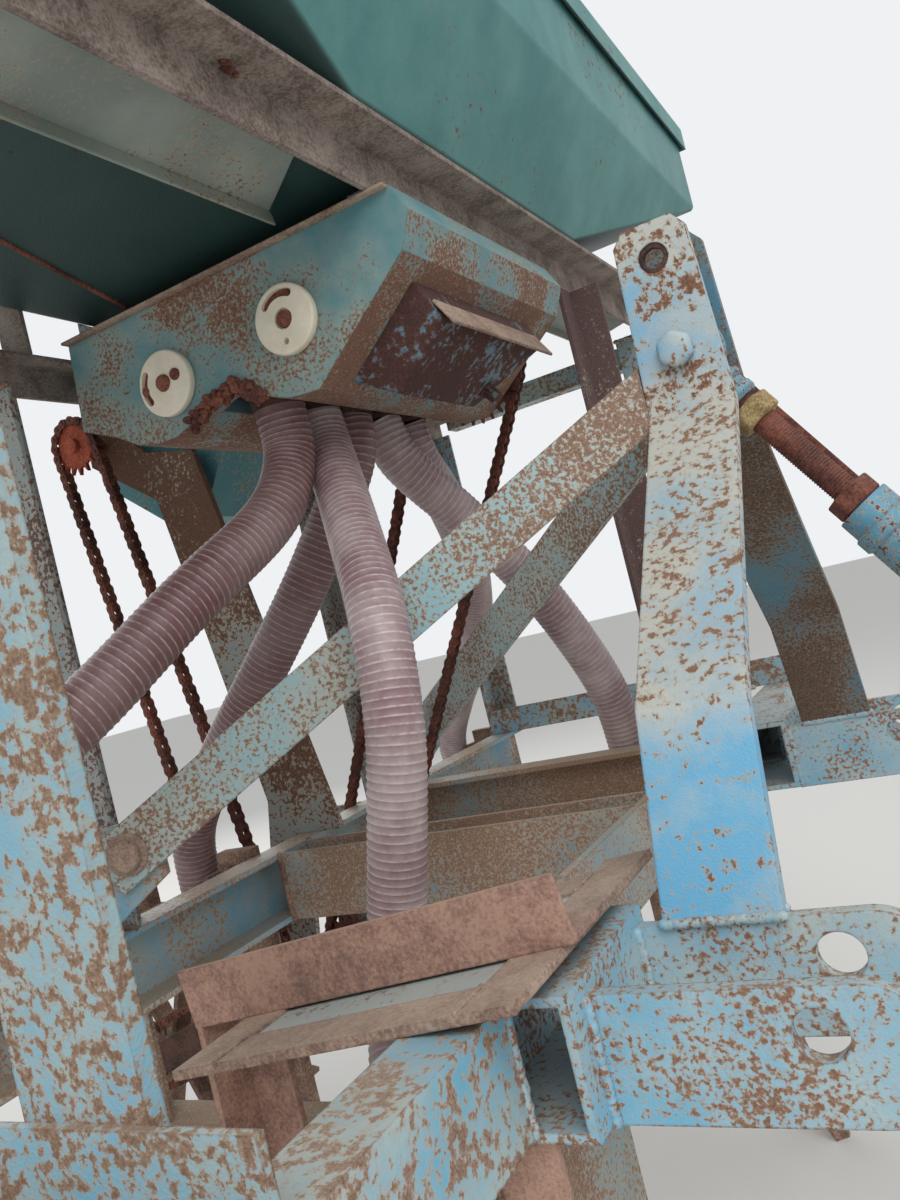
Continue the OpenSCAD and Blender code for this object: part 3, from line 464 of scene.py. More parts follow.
        # Flexible PVC with a rigid spiral: mauve and dusty; the spiral's crests paler, dust with a
        # painted highlight.
        self.hose = AgedPlastic("spiral_pvc_hose", "#8f7175", "#cabdba", roughness=0.45,
                                grime_share=0.75, ring="#d8ccc8").build()
        # The same PVC less bleached: maroon; its crests paler too, dust with a painted highlight.
        self.red_hose = AgedPlastic("maroon_pvc_hose", "#6e4a4b", "#93807d", roughness=0.45,
                                    grime_share=0.7, ring="#b9a7a3").build()


class Bench:
    """Modelling steps shared by the sub-assemblies."""

    @staticmethod
    def clear() -> None:
        """Leaves nothing selected."""
        if bpy.context.object and bpy.context.object.mode != "OBJECT":
            bpy.ops.object.mode_set(mode="OBJECT")
        bpy.ops.object.select_all(action="DESELECT")

    @staticmethod
    def only(*pieces: Piece) -> Piece:
        """Selects these pieces alone and makes the first one active.

        Args:
            *pieces: The pieces.

        Returns:
            The first piece.
        """
        Bench.clear()
        for piece in pieces:
            piece.select_set(True)
        bpy.context.view_layer.objects.active = pieces[0]
        return pieces[0]

    @staticmethod
    def solid(verts: list, edges: list, faces: list) -> Piece:
        """An object from its corners, edges and faces.

        Args:
            verts: The corners.
            edges: The edges that no face has.
            faces: The faces.

        Returns:
            The object, selected alone.
        """
        mesh = bpy.data.meshes.new("piece")
        mesh.from_pydata([tuple(v) for v in verts], edges, faces)
        made = bpy.data.objects.new("piece", mesh)
        bpy.context.scene.collection.objects.link(made)
        return Bench.only(made)

    @staticmethod
    def edit_all() -> None:
        """Opens the active mesh for editing with all of it selected."""
        bpy.ops.object.mode_set(mode="EDIT")
        bpy.ops.mesh.select_all(action="SELECT")

    @staticmethod
    def face_out() -> None:
        """Turns the faces of the mesh being edited outwards and closes it."""
        bpy.ops.mesh.normals_make_consistent(inside=False)
        bpy.ops.object.mode_set(mode="OBJECT")

    @staticmethod
    def hull(verts: list, faces: list) -> Piece:
        """A shell from its corners and faces, with its faces turned outwards.

        Args:
            verts: The corners.
            faces: The faces.

        Returns:
            The shell, selected alone.
        """
        made = Bench.solid(verts, [], faces)
        Bench.edit_all()
        Bench.face_out()
        return made

    @staticmethod
    def block(low: Point, high: Point, rounding: float = 0.0) -> Piece:
        """A cuboid between two corners, with its place in its mesh.

        Args:
            low: The lowest corner.
            high: The highest corner.
            rounding: Width of its rounded edges.

        Returns:
            The cuboid.
        """
        Bench.clear()
        bpy.ops.mesh.primitive_cube_add(size=1, location=[(a + b) / 2 for a, b in zip(low, high)])
        made = bpy.context.object
        made.scale = [b - a for a, b in zip(low, high)]
        bpy.ops.object.transform_apply(location=True, rotation=True, scale=True)
        return Bench.bevel(made, rounding) if rounding else made

    @staticmethod
    def rod(start: Point, end: Point, radius: float, sides: int = 24) -> Piece:
        """A cylinder between two points, with its place in its mesh.

        Args:
            start: Centre of one end.
            end: Centre of the other end.
            radius: Its radius.
            sides: Number of side faces.

        Returns:
            The cylinder.
        """
        Bench.clear()
        a, b = Vector(start), Vector(end)
        turn = (b - a).to_track_quat("Z", "Y").to_euler()
        bpy.ops.mesh.primitive_cylinder_add(vertices=sides, radius=radius, depth=(b - a).length,
                                            location=(a + b) / 2, rotation=turn)
        made = bpy.context.object
        bpy.ops.object.transform_apply(location=True, rotation=True, scale=True)
        return made

    @staticmethod
    def prism(outline: list[Flat], low: float, high: float, axis: str = "Y") -> Piece:
        """A flat plate of any outline, extruded along one axis.

        Args:
            outline: Its corners: Y and Z along X, X and Z along Y, X and Y along Z.
            low: Where the plate starts on its axis.
            high: Where it ends.
            axis: The axis.

        Returns:
            The plate.
        """
        corner = {"X": lambda u, v: (low, u, v), "Y": lambda u, v: (u, low, v),
                  "Z": lambda u, v: (u, v, low)}[axis]
        shift = {"X": (high - low, 0, 0), "Y": (0, high - low, 0), "Z": (0, 0, high - low)}[axis]
        made = Bench.solid([corner(u, v) for u, v in outline], [], [tuple(range(len(outline)))])
        Bench.edit_all()
        bpy.ops.mesh.extrude_region_move(TRANSFORM_OT_translate={"value": shift})
        bpy.ops.mesh.select_all(action="SELECT")
        Bench.face_out()
        return made

    @staticmethod
    def lathe(profile: list[Flat], axis: str, steps: int = 28) -> Piece:
        """A turned piece about an axis through the origin.

        Args:
            profile: Closed outline, as distance from the axis and place along it.
            axis: The axis, X or Y.
            steps: Faces round it.

        Returns:
            The turned piece.
        """
        corners = [(s, 0, r) if axis == "X" else (0, s, r) for r, s in profile]
        count = len(corners)
        made = Bench.solid(corners, [(k, (k + 1) % count) for k in range(count)], [])
        Bench.edit_all()
        bpy.ops.mesh.spin(steps=steps, angle=2 * math.pi, center=(0, 0, 0),
                          axis=(1, 0, 0) if axis == "X" else (0, 1, 0))
        bpy.ops.mesh.select_all(action="SELECT")
        bpy.ops.mesh.remove_doubles(threshold=0.00002)
        Bench.face_out()
        bpy.ops.object.shade_smooth_by_angle(angle=math.radians(35))
        return made

    @staticmethod
    def wire(points: list[Point], radius: float) -> Piece:
        """A round bar bent along points.

        Args:
            points: Its points.
            radius: Its radius.

        Returns:
            The bar.
        """
        curve = bpy.data.curves.new("wire", "CURVE")
        curve.dimensions = "3D"
        curve.bevel_depth, curve.bevel_resolution, curve.use_fill_caps = radius, 3, True
        line = curve.splines.new("POLY")
        line.points.add(len(points) - 1)
        for place, at in zip(line.points, points):
            place.co = (*at, 1.0)
        made = bpy.data.objects.new("wire", curve)
        bpy.context.scene.collection.objects.link(made)
        Bench.only(made)
        bpy.ops.object.convert(target="MESH")
        bpy.ops.object.shade_smooth()
        return bpy.context.object

    @staticmethod
    def bolt(place: Point, way: Point, across: float = 0.019, height: float = 0.008,
             washer: bool = True) -> list[Piece]:
        """A hexagon bolt head, with its washer.

        Args:
            place: Where it sits.
            way: Unit vector out of the surface.
            across: Width across its flats.
            height: Height of the head.
            washer: Whether it has a washer.

        Returns:
            The head and the washer.
        """
        seat, out = Vector(place), Vector(way)
        base = seat + out * (0.002 if washer else 0.0)
        parts = [Bench.bevel(Bench.rod(base, base + out * height, across / 1.732, 6), across * 0.07)]
        if washer:
            parts.append(Bench.bevel(Bench.rod(seat, base, across * 0.78), 0.0004, 1))
        return parts

    @staticmethod
    def bevel(piece: Piece, width: float, segments: int = 2) -> Piece:
        """Rounds a piece's sharp edges.

        Args:
            piece: The piece.
            width: Width of the rounding.
            segments: Its faces across.

        Returns:
            The piece.
        """
        Bench.only(piece)
        step = piece.modifiers.new("rounding", "BEVEL")
        step.width = width
        step.segments = segments
        step.limit_method = "ANGLE"
        bpy.ops.object.modifier_apply(modifier=step.name)
        bpy.ops.object.shade_smooth_by_angle(angle=math.radians(35))
        return piece

    @staticmethod
    def cut(piece: Piece, tool: Piece) -> Piece:
        """Cuts a tool's shape out of a piece and removes the tool.

        Args:
            piece: The piece.
            tool: What is cut away.

        Returns:
            The piece.
        """
        Bench.only(piece)
        step = piece.modifiers.new("cut", "BOOLEAN")
        step.operation = "DIFFERENCE"
        step.solver = "EXACT"
        step.object = tool
        bpy.ops.object.modifier_apply(modifier=step.name)
        bpy.data.objects.remove(tool)
        return piece

    @staticmethod
    def move(pieces: list[Piece], matrix: Matrix) -> list[Piece]:
        """Moves meshes, with their place kept in the mesh.

        Args:
            pieces: The pieces.
            matrix: The move.

        Returns:
            The pieces.
        """
        for piece in pieces:
            piece.data.transform(matrix)
        return pieces

    @staticmethod
    def scatter(kind: Piece, places: list[Matrix]) -> Piece:
        """Lays copies of a piece at many places in one mesh, and removes the piece.

        Args:
            kind: The piece.
            places: Where each copy goes.

        Returns:
            The copies as one piece.
        """
        base = [v.co.copy() for v in kind.data.vertices]
        rings = [tuple(p.vertices) for p in kind.data.polygons]
        verts: list[Vector] = []
        faces: list[tuple[int, ...]] = []
        for place in places:
            start = len(verts)
            verts.extend(place @ v for v in base)
            faces.extend(tuple(start + i for i in ring) for ring in rings)
        bpy.data.objects.remove(kind)
        made = Bench.solid(verts, [], faces)
        bpy.ops.object.shade_smooth_by_angle(angle=math.radians(40))
        return made

    @staticmethod
    def join(pieces: list[Piece]) -> Piece:
        """Joins pieces into the first.

        Args:
            pieces: The pieces.

        Returns:
            The joined piece.
        """
        first = Bench.only(*pieces)
        if len(pieces) > 1:
            bpy.ops.object.join()
        return first

    @staticmethod
    def finish(pieces: list[Piece], name: str, material: Material, slot: Slot,
               body: str = "frame") -> Piece:
        """Joins, places, names, dresses and mounts a piece.

        Args:
            pieces: What it is made of.
            name: Its name.
            material: Its material.
            slot: Not used.
            body: The body that it moves with.

        Returns:
            The piece.
        """
        piece = Bench.join(pieces)
        piece.data.transform(Matrix.Translation(-ORIGIN))
        piece.name = name
        piece.data.name = name
        piece.data.materials.clear()
        piece.data.materials.append(material)
        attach(piece, body)
        LOG.info("%s: %d faces", name, len(piece.data.polygons))
        return piece


def spline(route: list[Point], u: float) -> Vector:
    """Point of the smooth curve through a route.

    Args:
        route: The points of the route.
        u: Place on it, from 0 to one less than the number of points.

    Returns:
        The point.
    """
    last = len(route) - 1
    i = min(int(u), last - 1)
    t = u - i
    a, b, c, d = (Vector(route[min(max(k, 0), last)]) for k in (i - 1, i, i + 1, i + 2))
    return 0.5 * (2 * b + (c - a) * t + (2 * a - 5 * b + 4 * c - d) * t * t
                  + (3 * b - 3 * c + d - a) * t**3)


def arc(centre: Flat, radius: float, start: float, end: float, steps: int = 8) -> list[Flat]:
    """Points of an arc.

    Args:
        centre: Its centre.
        radius: Its radius.
        start: First angle, in degrees.
        end: Last angle.
        steps: Runs between the points.

    Returns:
        The points.
    """
    turns = [math.radians(start + (end - start) * k / steps) for k in range(steps + 1)]
    return [(centre[0] + radius * math.cos(a), centre[1] + radius * math.sin(a)) for a in turns]


@dataclass
class SeedHose:
    """A spiral-ribbed seed hose from a seed outlet to the boot of a tine."""

    name: str
    route: list[Point]
    diameter: float = 0.05
    rib_pitch: float = 0.0068
    rib_depth: float = 0.0007
    sides: int = 26
    fine: int = 60
    reddened: bool = False

    def line(self, step: float) -> list[Vector]:
        """Points along the hose.

        Args:
            step: Distance between them, about.

        Returns:
            The points, evenly spaced.
        """
        last = self.fine * (len(self.route) - 1)
        dense = [spline(self.route, k / self.fine) for k in range(last + 1)]
        lengths = [0.0]
        for a, b in zip(dense, dense[1:]):
            lengths.append(lengths[-1] + (b - a).length)
        count = round(lengths[-1] / step)
        points = []
        j = 0
        for k in range(count + 1):
            s = lengths[-1] * k / count
            while j < len(dense) - 2 and lengths[j + 1] < s:
                j += 1
            share = (s - lengths[j]) / max(lengths[j + 1] - lengths[j], 1e-9)
            points.append(dense[j].lerp(dense[j + 1], share))
        return points

    def build(self, palette: Palette) -> None:
        """Sweeps the ribbed skin along the route.

        Args:
            palette: The finishes.
        """
        profile = [1.0, 0.35, 0.0, 0.0, 0.0, 0.35]
        points = self.line(self.rib_pitch / len(profile))
        verts: list[Vector] = []
        crest: list[float] = []
        normal = Vector((1, 0, 0))
        for i, p in enumerate(points):
            ahead = points[min(i + 1, len(points) - 1)] - points[max(i - 1, 0)]
            ahead.normalize()
            normal = (normal - ahead * normal.dot(ahead)).normalized()
            side = ahead.cross(normal)
            rib = profile[i % len(profile)]
            radius = self.diameter / 2 - self.rib_depth * (1 - rib)
            for k in range(self.sides):
                a = 2 * math.pi * k / self.sides
                verts.append(p + radius * (math.cos(a) * normal + math.sin(a) * side))
                crest.append(rib)
        n = self.sides
        faces = [(j * n + k, j * n + (k + 1) % n, (j + 1) * n + (k + 1) % n, (j + 1) * n + k)
                 for j in range(len(points) - 1) for k in range(n)]
        faces.append(tuple(range(n - 1, -1, -1)))
        faces.append(tuple((len(points) - 1) * n + k for k in range(n)))
        piece = Bench.solid(verts, [], faces)
        piece.data.attributes.new("crest", "FLOAT", "POINT").data.foreach_set("value", crest)
        bpy.ops.object.shade_smooth()
        finish = palette.red_hose if self.reddened else palette.hose
        Bench.finish([piece], self.name + "_ribbed", finish, Slot.HOSE)
        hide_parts(self.name)


@dataclass
class RollerChain:
    """A half-inch roller chain on two sprockets."""

    name: str
    first: Flat
    first_teeth: int
    second: Flat
    second_teeth: int
    plane: float
    body: str = "frame"
    pitch: float = 0.0127
    plate: float = 0.0014
    eye: float = 0.0056
    waist: float = 0.0042
    inner_gap: float = 0.0036
    outer_gap: float = 0.0052
    pin: float = 0.0020
    roller: float = 0.0040

    def loop(self) -> list[Vector]:
        """Places of the pins.

        Returns:
            Each pin's centre, in X and Z.
        """
        r1, r2 = (self.pitch / (2 * math.sin(math.pi / t))
                  for t in (self.first_teeth, self.second_teeth))
        c1, c2 = Vector(self.first), Vector(self.second)
        apart = (c2 - c1).length
        phi = math.atan2(c2.y - c1.y, c2.x - c1.x)
        beta = math.acos((r1 - r2) / apart)
        run = math.sqrt(apart**2 - (r1 - r2) ** 2)
        ends = [r1 * (2 * math.pi - 2 * beta), run, r2 * 2 * beta, run]
        total = sum(ends)
        count = 2 * round(total / self.pitch / 2)
        places = []
        for k in range(count):
            s = total * (k + 0.25) / count
            if s < ends[0]:
                a = phi + beta + s / r1
                places.append(c1 + r1 * Vector((math.cos(a), math.sin(a))))
            elif s < ends[0] + ends[1]:
                a = phi - beta
                places.append(c1 + r1 * Vector((math.cos(a), math.sin(a)))
                              + (s - ends[0]) * Vector((-math.sin(a), math.cos(a))))
            elif s < total - ends[3]:
                a = phi - beta + (s - ends[0] - ends[1]) / r2
                places.append(c2 + r2 * Vector((math.cos(a), math.sin(a))))
            else:
                a = phi + beta
                places.append(c2 + r2 * Vector((math.cos(a), math.sin(a)))
                              + (s - total + ends[3]) * Vector((-math.sin(a), math.cos(a))))
        return places

    def link(self, inner: bool) -> Piece:
        """One link at the origin: two waisted plates, and two rollers or two riveted pins.

        Args:
            inner: Whether it is an inner link.

        Returns:
            The link.
        """
        half = self.inner_gap if inner else self.outer_gap
        outline = [*arc((0, 0), self.eye, 75, 285, 6), (self.pitch / 2, -self.waist),
                   *arc((self.pitch, 0), self.eye, -105, 105, 6), (self.pitch / 2, self.waist)]
        parts = [Bench.prism(outline, side.value * half, side.value * (half + self.plate))
                 for side in Side]
        rivet = self.plate + 0.0012
        reach, radius, sides = (half, self.roller, 10) if inner else (half + rivet, self.pin, 8)
        for x in (0.0, self.pitch):
            parts.append(Bench.rod((x, -reach, 0), (x, reach, 0), radius, sides))
        return Bench.join(parts)

    def build(self, palette: Palette) -> None:
        """Lays the links round the loop.

        Args:
            palette: The finishes.
        """
        pins = self.loop()
        places = []
        for p, q in zip(pins, pins[1:] + pins[:1]):
            way = q - p
            turn = Matrix.Rotation(-math.atan2(way.y, way.x), 4, "Y")
            stretch = Matrix.Diagonal((way.length / self.pitch, 1, 1, 1))
            places.append(Matrix.Translation((p.x, self.plane, p.y)) @ turn @ stretch)
        links = [Bench.scatter(self.link(True), places[0::2]),
                 Bench.scatter(self.link(False), places[1::2])]
        piece = Bench.finish(links, self.name + "_links", palette.chain, Slot.CHAIN, self.body)
        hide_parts(self.name)


@dataclass
class Welding:
    """Weld beads laid in short overlapping runs, and lumps of scale."""

    seed: int = 11
    painted_radius: float = 0.0034
    rusted_radius: float = 0.0036
    seam_radius: float = 0.0024
    overlap: float = 0.6

    def __post_init__(self) -> None:
        """Starts the seeded draws."""
        self.draw = random.Random(self.seed)

    def beads(self, lines: list[tuple[Point, Point]], radius: float) -> Piece:
        """Beads along straight lines.

        Args:
            lines: Start and end of each bead.
            radius: Its radius.

        Returns:
            The beads as one piece.
        """
        places = []
        for start, end in lines:
            a, b = Vector(start), Vector(end)
            count = max(2, round((b - a).length / radius / self.overlap))
            for k in range(count + 1):
                wobble = Vector([self.draw.uniform(-0.12, 0.12) * radius for _ in range(3)])
                size = radius * self.draw.uniform(0.9, 1.08)
                places.append(Matrix.Translation(a.lerp(b, k / count) + wobble)
                              @ Matrix.Diagonal((size, size, size, 1)))
        return Bench.scatter(self.ball(), places)

    def lumps(self, line: list[Point], count: int, spread: float, size: float) -> Piece:
        """Flat lumps of scale scattered about a bent line.

        Args:
            line: The points of the line.
            count: How many lumps.
            spread: How far they stray.
            size: Size of the largest.

        Returns:
            The lumps as one piece.
        """
        places = []
        for _ in range(count):
            u = self.draw.uniform(0, len(line) - 1.001)
            at = Vector(line[int(u)]).lerp(Vector(line[int(u) + 1]), u % 1)
            at += Vector([self.draw.uniform(-spread, spread) for _ in range(3)])
            scale = [size * self.draw.uniform(0.3, 1.0) for _ in range(3)]
            turn = Matrix.Rotation(self.draw.uniform(0, 6.28), 4, "Z")
            places.append(Matrix.Translation(at) @ turn @ Matrix.Diagonal((*scale, 1)))
        return Bench.scatter(self.ball(), places)

    @staticmethod
    def ball() -> Piece:
        """A small ball of radius 1, to be scaled."""
        Bench.clear()
        bpy.ops.mesh.primitive_ico_sphere_add(subdivisions=2, radius=1.0)
        return bpy.context.object

    @staticmethod
    def painted_joints() -> list[tuple[Point, Point]]:
        """Joints whose beads were painted over.

        Returns:
            Start and end of each bead.
        """
        joints: list[tuple[Point, Point]] = []
        for side in Side:
            s = side.value
            # Both faces of a mast bar's foot, on the inner hitch plate.
            joints += [((0.019, s * y, z), (0.092, s * y, z))
                       for y, z in ((0.3135, 0.506), (0.3020, 0.5065))]
            # The hitch plates on the end of their stub.
            joints += [((0.001, s * y, 0.436), (0.001, s * y, 0.502))
                       for y in (0.3005, 0.3135, 0.3965, 0.4095)]
            # The front post under the top rail and on the front tube.
            joints += [((-0.170, s * y, z), (-0.095, s * y, z))
                       for y, z in ((0.6155, 1.0775), (0.6150, 0.5165))]
            # The front tube on the side of the stub.
            joints += [((x, s * 0.4325, 0.4415), (x, s * 0.4325, 0.5135)) for x in (-0.079, -0.037)]
        return joints

    @staticmethod
    def rusted_joints() -> list[tuple[Point, Point]]:
        """Joints whose beads have lost their paint.

        Returns:
            Start and end of each bead.
        """
        joints: list[tuple[Point, Point]] = []
        for side in Side:
            s = side.value
            # The centre member between the cross channel and the front.
            joints += [((x, s * 0.0285, 0.442), (x, s * 0.0285, 0.514)) for x in (-0.5065, -0.0885)]
            # The feet and the tops of the rear uprights.
            joints += [((-0.541, s * 0.2455, 0.5160), (-0.509, s * 0.2455, 0.5160)),
                       ((-0.540, s * 0.2450, 1.0365), (-0.508, s * 0.2450, 1.0365))]
        # The left side member, the hangers of the drive and the step's bracket.
        return joints + [((-0.5065, 0.2955, 0.442), (-0.5065, 0.2955, 0.514)),
                         ((-0.506, 0.2560, 0.5155), (-0.506, 0.2940, 0.5155)),
                         ((-0.126, 0.2960, 0.5160), (-0.089, 0.2960, 0.5160)),
                         ((-0.5475, 0.0615, 0.442), (-0.5475, 0.0615, 0.513)),
                         ((-0.5475, 0.2015, 0.442), (-0.5475, 0.2015, 0.513)),
                         ((-0.0785, -0.4255, 0.4345), (-0.0455, -0.4255, 0.4345))]

    @staticmethod
    def hopper_seams() -> list[tuple[Point, Point]]:
        """The seam across each end slope of the hopper, in two runs.

        Returns:
            Start and end of each bead.
        """
        x, foot, slope = -0.423, 1.0520, 0.2776
        return [((x, s.value * y0, foot + slope * y0), (x, s.value * y1, foot + slope * y1))
                for s in Side for y0, y1 in ((0.104, 0.30), (0.34, 0.638))]

    def scale(self) -> list[Piece]:
        """Crusts under the metering housing and lumps on the front beam.

        Returns:
            The crusts and lumps.
        """
        return [self.lumps([(-0.366, -0.1735, 0.956), (-0.330, -0.1735, 0.969),
                            (-0.304, -0.1735, 0.974), (-0.277, -0.1735, 0.957)], 170, 0.0055, 0.0055),
                self.lumps([(-0.366, 0.1735, 0.956), (-0.300, 0.1735, 0.974)], 30, 0.004, 0.006),
                self.lumps([(-0.120, -0.34, 1.1165), (-0.118, -0.36, 1.1165)], 12, 0.004, 0.005),
                self.lumps([(-0.1285, -0.205, 1.102), (-0.1285, -0.19, 1.100)], 8, 0.003, 0.004)]

    def build(self, palette: Palette) -> None:
        """Lays every bead of the frame.

        Args:
            palette: The finishes.
        """
        for joints, radius, name, finish, slot in (
                (self.painted_joints(), self.painted_radius, "painted_weld_beads", palette.blue,
                 Slot.BLUE),
                (self.rusted_joints(), self.rusted_radius, "rusted_weld_beads", palette.rust,
                 Slot.RUSTY),
                (self.hopper_seams(), self.seam_radius, "hopper_seam_beads", palette.red_rust,
                 Slot.TEAL)):
            Bench.finish([self.beads(joints, radius)], name, finish, slot)
        Bench.finish(self.scale(), "scale_lumps", palette.red_rust, Slot.TEAL)


@dataclass
class Hopper:
    """Sheet hopper with a hipped bottom, its hinge pins, and the sheets beside the front beam."""

    front: float = -0.012
    back: float = -0.702
    half: float = 0.646
    hip_half: float = 0.240
    hip_x: Flat = (-0.087, -0.128)
    hip_z: float = 1.1193
    foot_half: float = 0.0948
    foot_x: Flat = (-0.140, -0.448)
    foot_z: float = 1.079
    top: float = 1.353
    fold: float = 1.232
    sheet: float = 0.003
    hinge: Flat = (-0.711, 1.357)
    hinge_y: float = 0.420
    rib_gap: float = 0.215

    def shell(self) -> Piece:
        """The folded sheet, open at the top.

        Returns:
            The shell.
        """
        ring = [(self.front, -self.half), (self.front, self.half), (self.back, self.half),
                (self.back, -self.half)]
        verts = [(x, y, z) for z in (self.top, self.fold) for x, y in ring]
        for ends, half, z in ((self.hip_x, self.hip_half, self.hip_z),
                              (self.foot_x, self.foot_half, self.foot_z)):
            for x in ends:
                verts += [(x, -half, z), (x, half, z)]
        faces = [(0, 1, 5, 4), (1, 2, 6, 5), (2, 3, 7, 6), (3, 0, 4, 7), (4, 5, 9, 8),
                 (8, 9, 11, 10), (10, 11, 13, 12), (12, 13, 15, 14), (6, 7, 14, 15),
                 (5, 6, 15, 13, 11, 9), (7, 4, 8, 10, 12, 14)]
        made = Bench.hull(verts, faces)
        Bench.bevel(made, 0.004)
        wall = made.modifiers.new("wall", "SOLIDIFY")
        wall.thickness, wall.offset = self.sheet, -1
        bpy.ops.object.modifier_apply(modifier=wall.name)
        bpy.ops.object.shade_smooth_by_angle(angle=math.radians(30))
        return made

    def hinges(self) -> list[Piece]:
        """The hinge pins with their brackets.

        Returns:
            The pieces.
        """
        x, z = self.hinge
        outline = [(x + 0.009, z - 0.050), (x + 0.009, z), *arc((x, z), 0.008, 0, 180),
                   (x - 0.008, z - 0.042), (x, z - 0.050)]
        made = []
        for side in Side:
            mid = side.value * self.hinge_y
            made.append(Bench.rod((x, mid - 0.023, z), (x, mid + 0.023, z), 0.0039))
            for y in (mid - 0.023, mid + 0.017):
                made.append(Bench.bevel(Bench.prism(outline, y, y + 0.006), 0.0008, 1))
        return made

    def aprons(self) -> list[Piece]:
        """The pale sheets that slope back from the front beam, with a turned-down rear edge.

        Returns:
            The sheets.
        """
        tilt = Matrix.Translation((-0.122, 0, 1.119)) @ Matrix.Rotation(math.radians(-11.3), 4, "Y")
        near, far, inner = -0.0052, -0.098, 0.186
        made = []
        for side in Side:
            s = side.value
            plan = [(near, s * 0.243), (near, s * self.half), (far, s * self.half),
                    (far, s * inner)]
            made.append(Bench.prism(plan, -self.sheet, 0.0, "Z"))
            low, high = sorted((s * inner, s * self.half))
            made.append(Bench.block((far, low, -0.016), (far + 0.0025, high, -self.sheet)))
        return Bench.move([Bench.bevel(piece, 0.0008, 1) for piece in made], tilt)

    def gussets(self) -> list[Piece]:
        """The small painted plates between the hopper and the corners of the metering housing.

        Returns:
            The plates.
        """
        rear = [(-0.490, 1.0792), (-0.4505, 1.0792), (-0.4515, 1.0805), (-0.489, 1.103)]
        fore = [(-0.156, 1.0792), (-0.1300, 1.0792), (-0.1300, 1.0940), (-0.156, 1.0940)]
        return [Bench.prism(outline, side.value * 0.150, side.value * 0.156)
                for outline in (rear, fore) for side in Side]

    def lid_trim(self) -> list[Piece]:
        """Pressed ribs and the handle of the lid.

        Returns:
            The pieces.
        """
        made = []
        z = self.top + 0.001
        for k in range(-2, 3):
            y = k * self.rib_gap
            rib = Bench.rod((-0.655, y, z), (-0.055, y, z), 0.0065, 16)
            made.append(Bench.bevel(rib, 0.003))
        z, half, corner, reach = self.top - 0.015, 0.06, 0.006, 0.026
        loop = [(-0.0045, -half, z), (reach - corner, -half, z), (reach, corner - half, z),
                (reach, half - corner, z), (reach - corner, half, z), (-0.0045, half, z)]
        made.append(Bench.wire(loop, 0.004))
        return made

    def rear_beam(self) -> list[Piece]:
        """The rear angle with the two plates that carry the hopper's rear slope.

        Returns:
            The pieces.
        """
        x, z, leg, t = -0.541, 1.071, 0.034, 0.005
        angle = [(x, z), (x + leg, z), (x + leg, z - t), (x + t, z - t), (x + t, z - leg), (x, z - leg)]
        made = [Bench.bevel(Bench.prism(angle, -0.700, 0.700), 0.0008, 1)]
        foot = self.foot_x[1]
        slope = (self.fold - self.foot_z) / (self.back - foot)
        plate = [(x, z), (x + leg, z), (x + leg, self.foot_z + slope * (x + leg - foot)),
                 (x, self.foot_z + slope * (x - foot))]
        for side in Side:
            made.append(Bench.prism(plate, side.value * 0.205, side.value * 0.210))
        return made

    def build(self, palette: Palette) -> None:
        """Builds the hopper and what carries it.

        Args:
            palette: The finishes.
        """
        body = Bench.finish([self.shell(), *self.hinges()], "hopper_sheet", palette.teal, Slot.TEAL)
        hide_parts("hopper")
        Bench.finish(self.aprons(), "apron_sheets", palette.apron, Slot.TEAL)
        Bench.finish(self.gussets(), "hopper_gussets", palette.blue, Slot.BLUE)
        Bench.finish(self.lid_trim(), "lid_ribs_and_handle", palette.teal, Slot.TEAL, "lid")
        beam = Bench.finish(self.rear_beam(), "rear_beam_angle", palette.mauve_rust, Slot.RUSTY)
        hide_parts("upper_rear_beam")


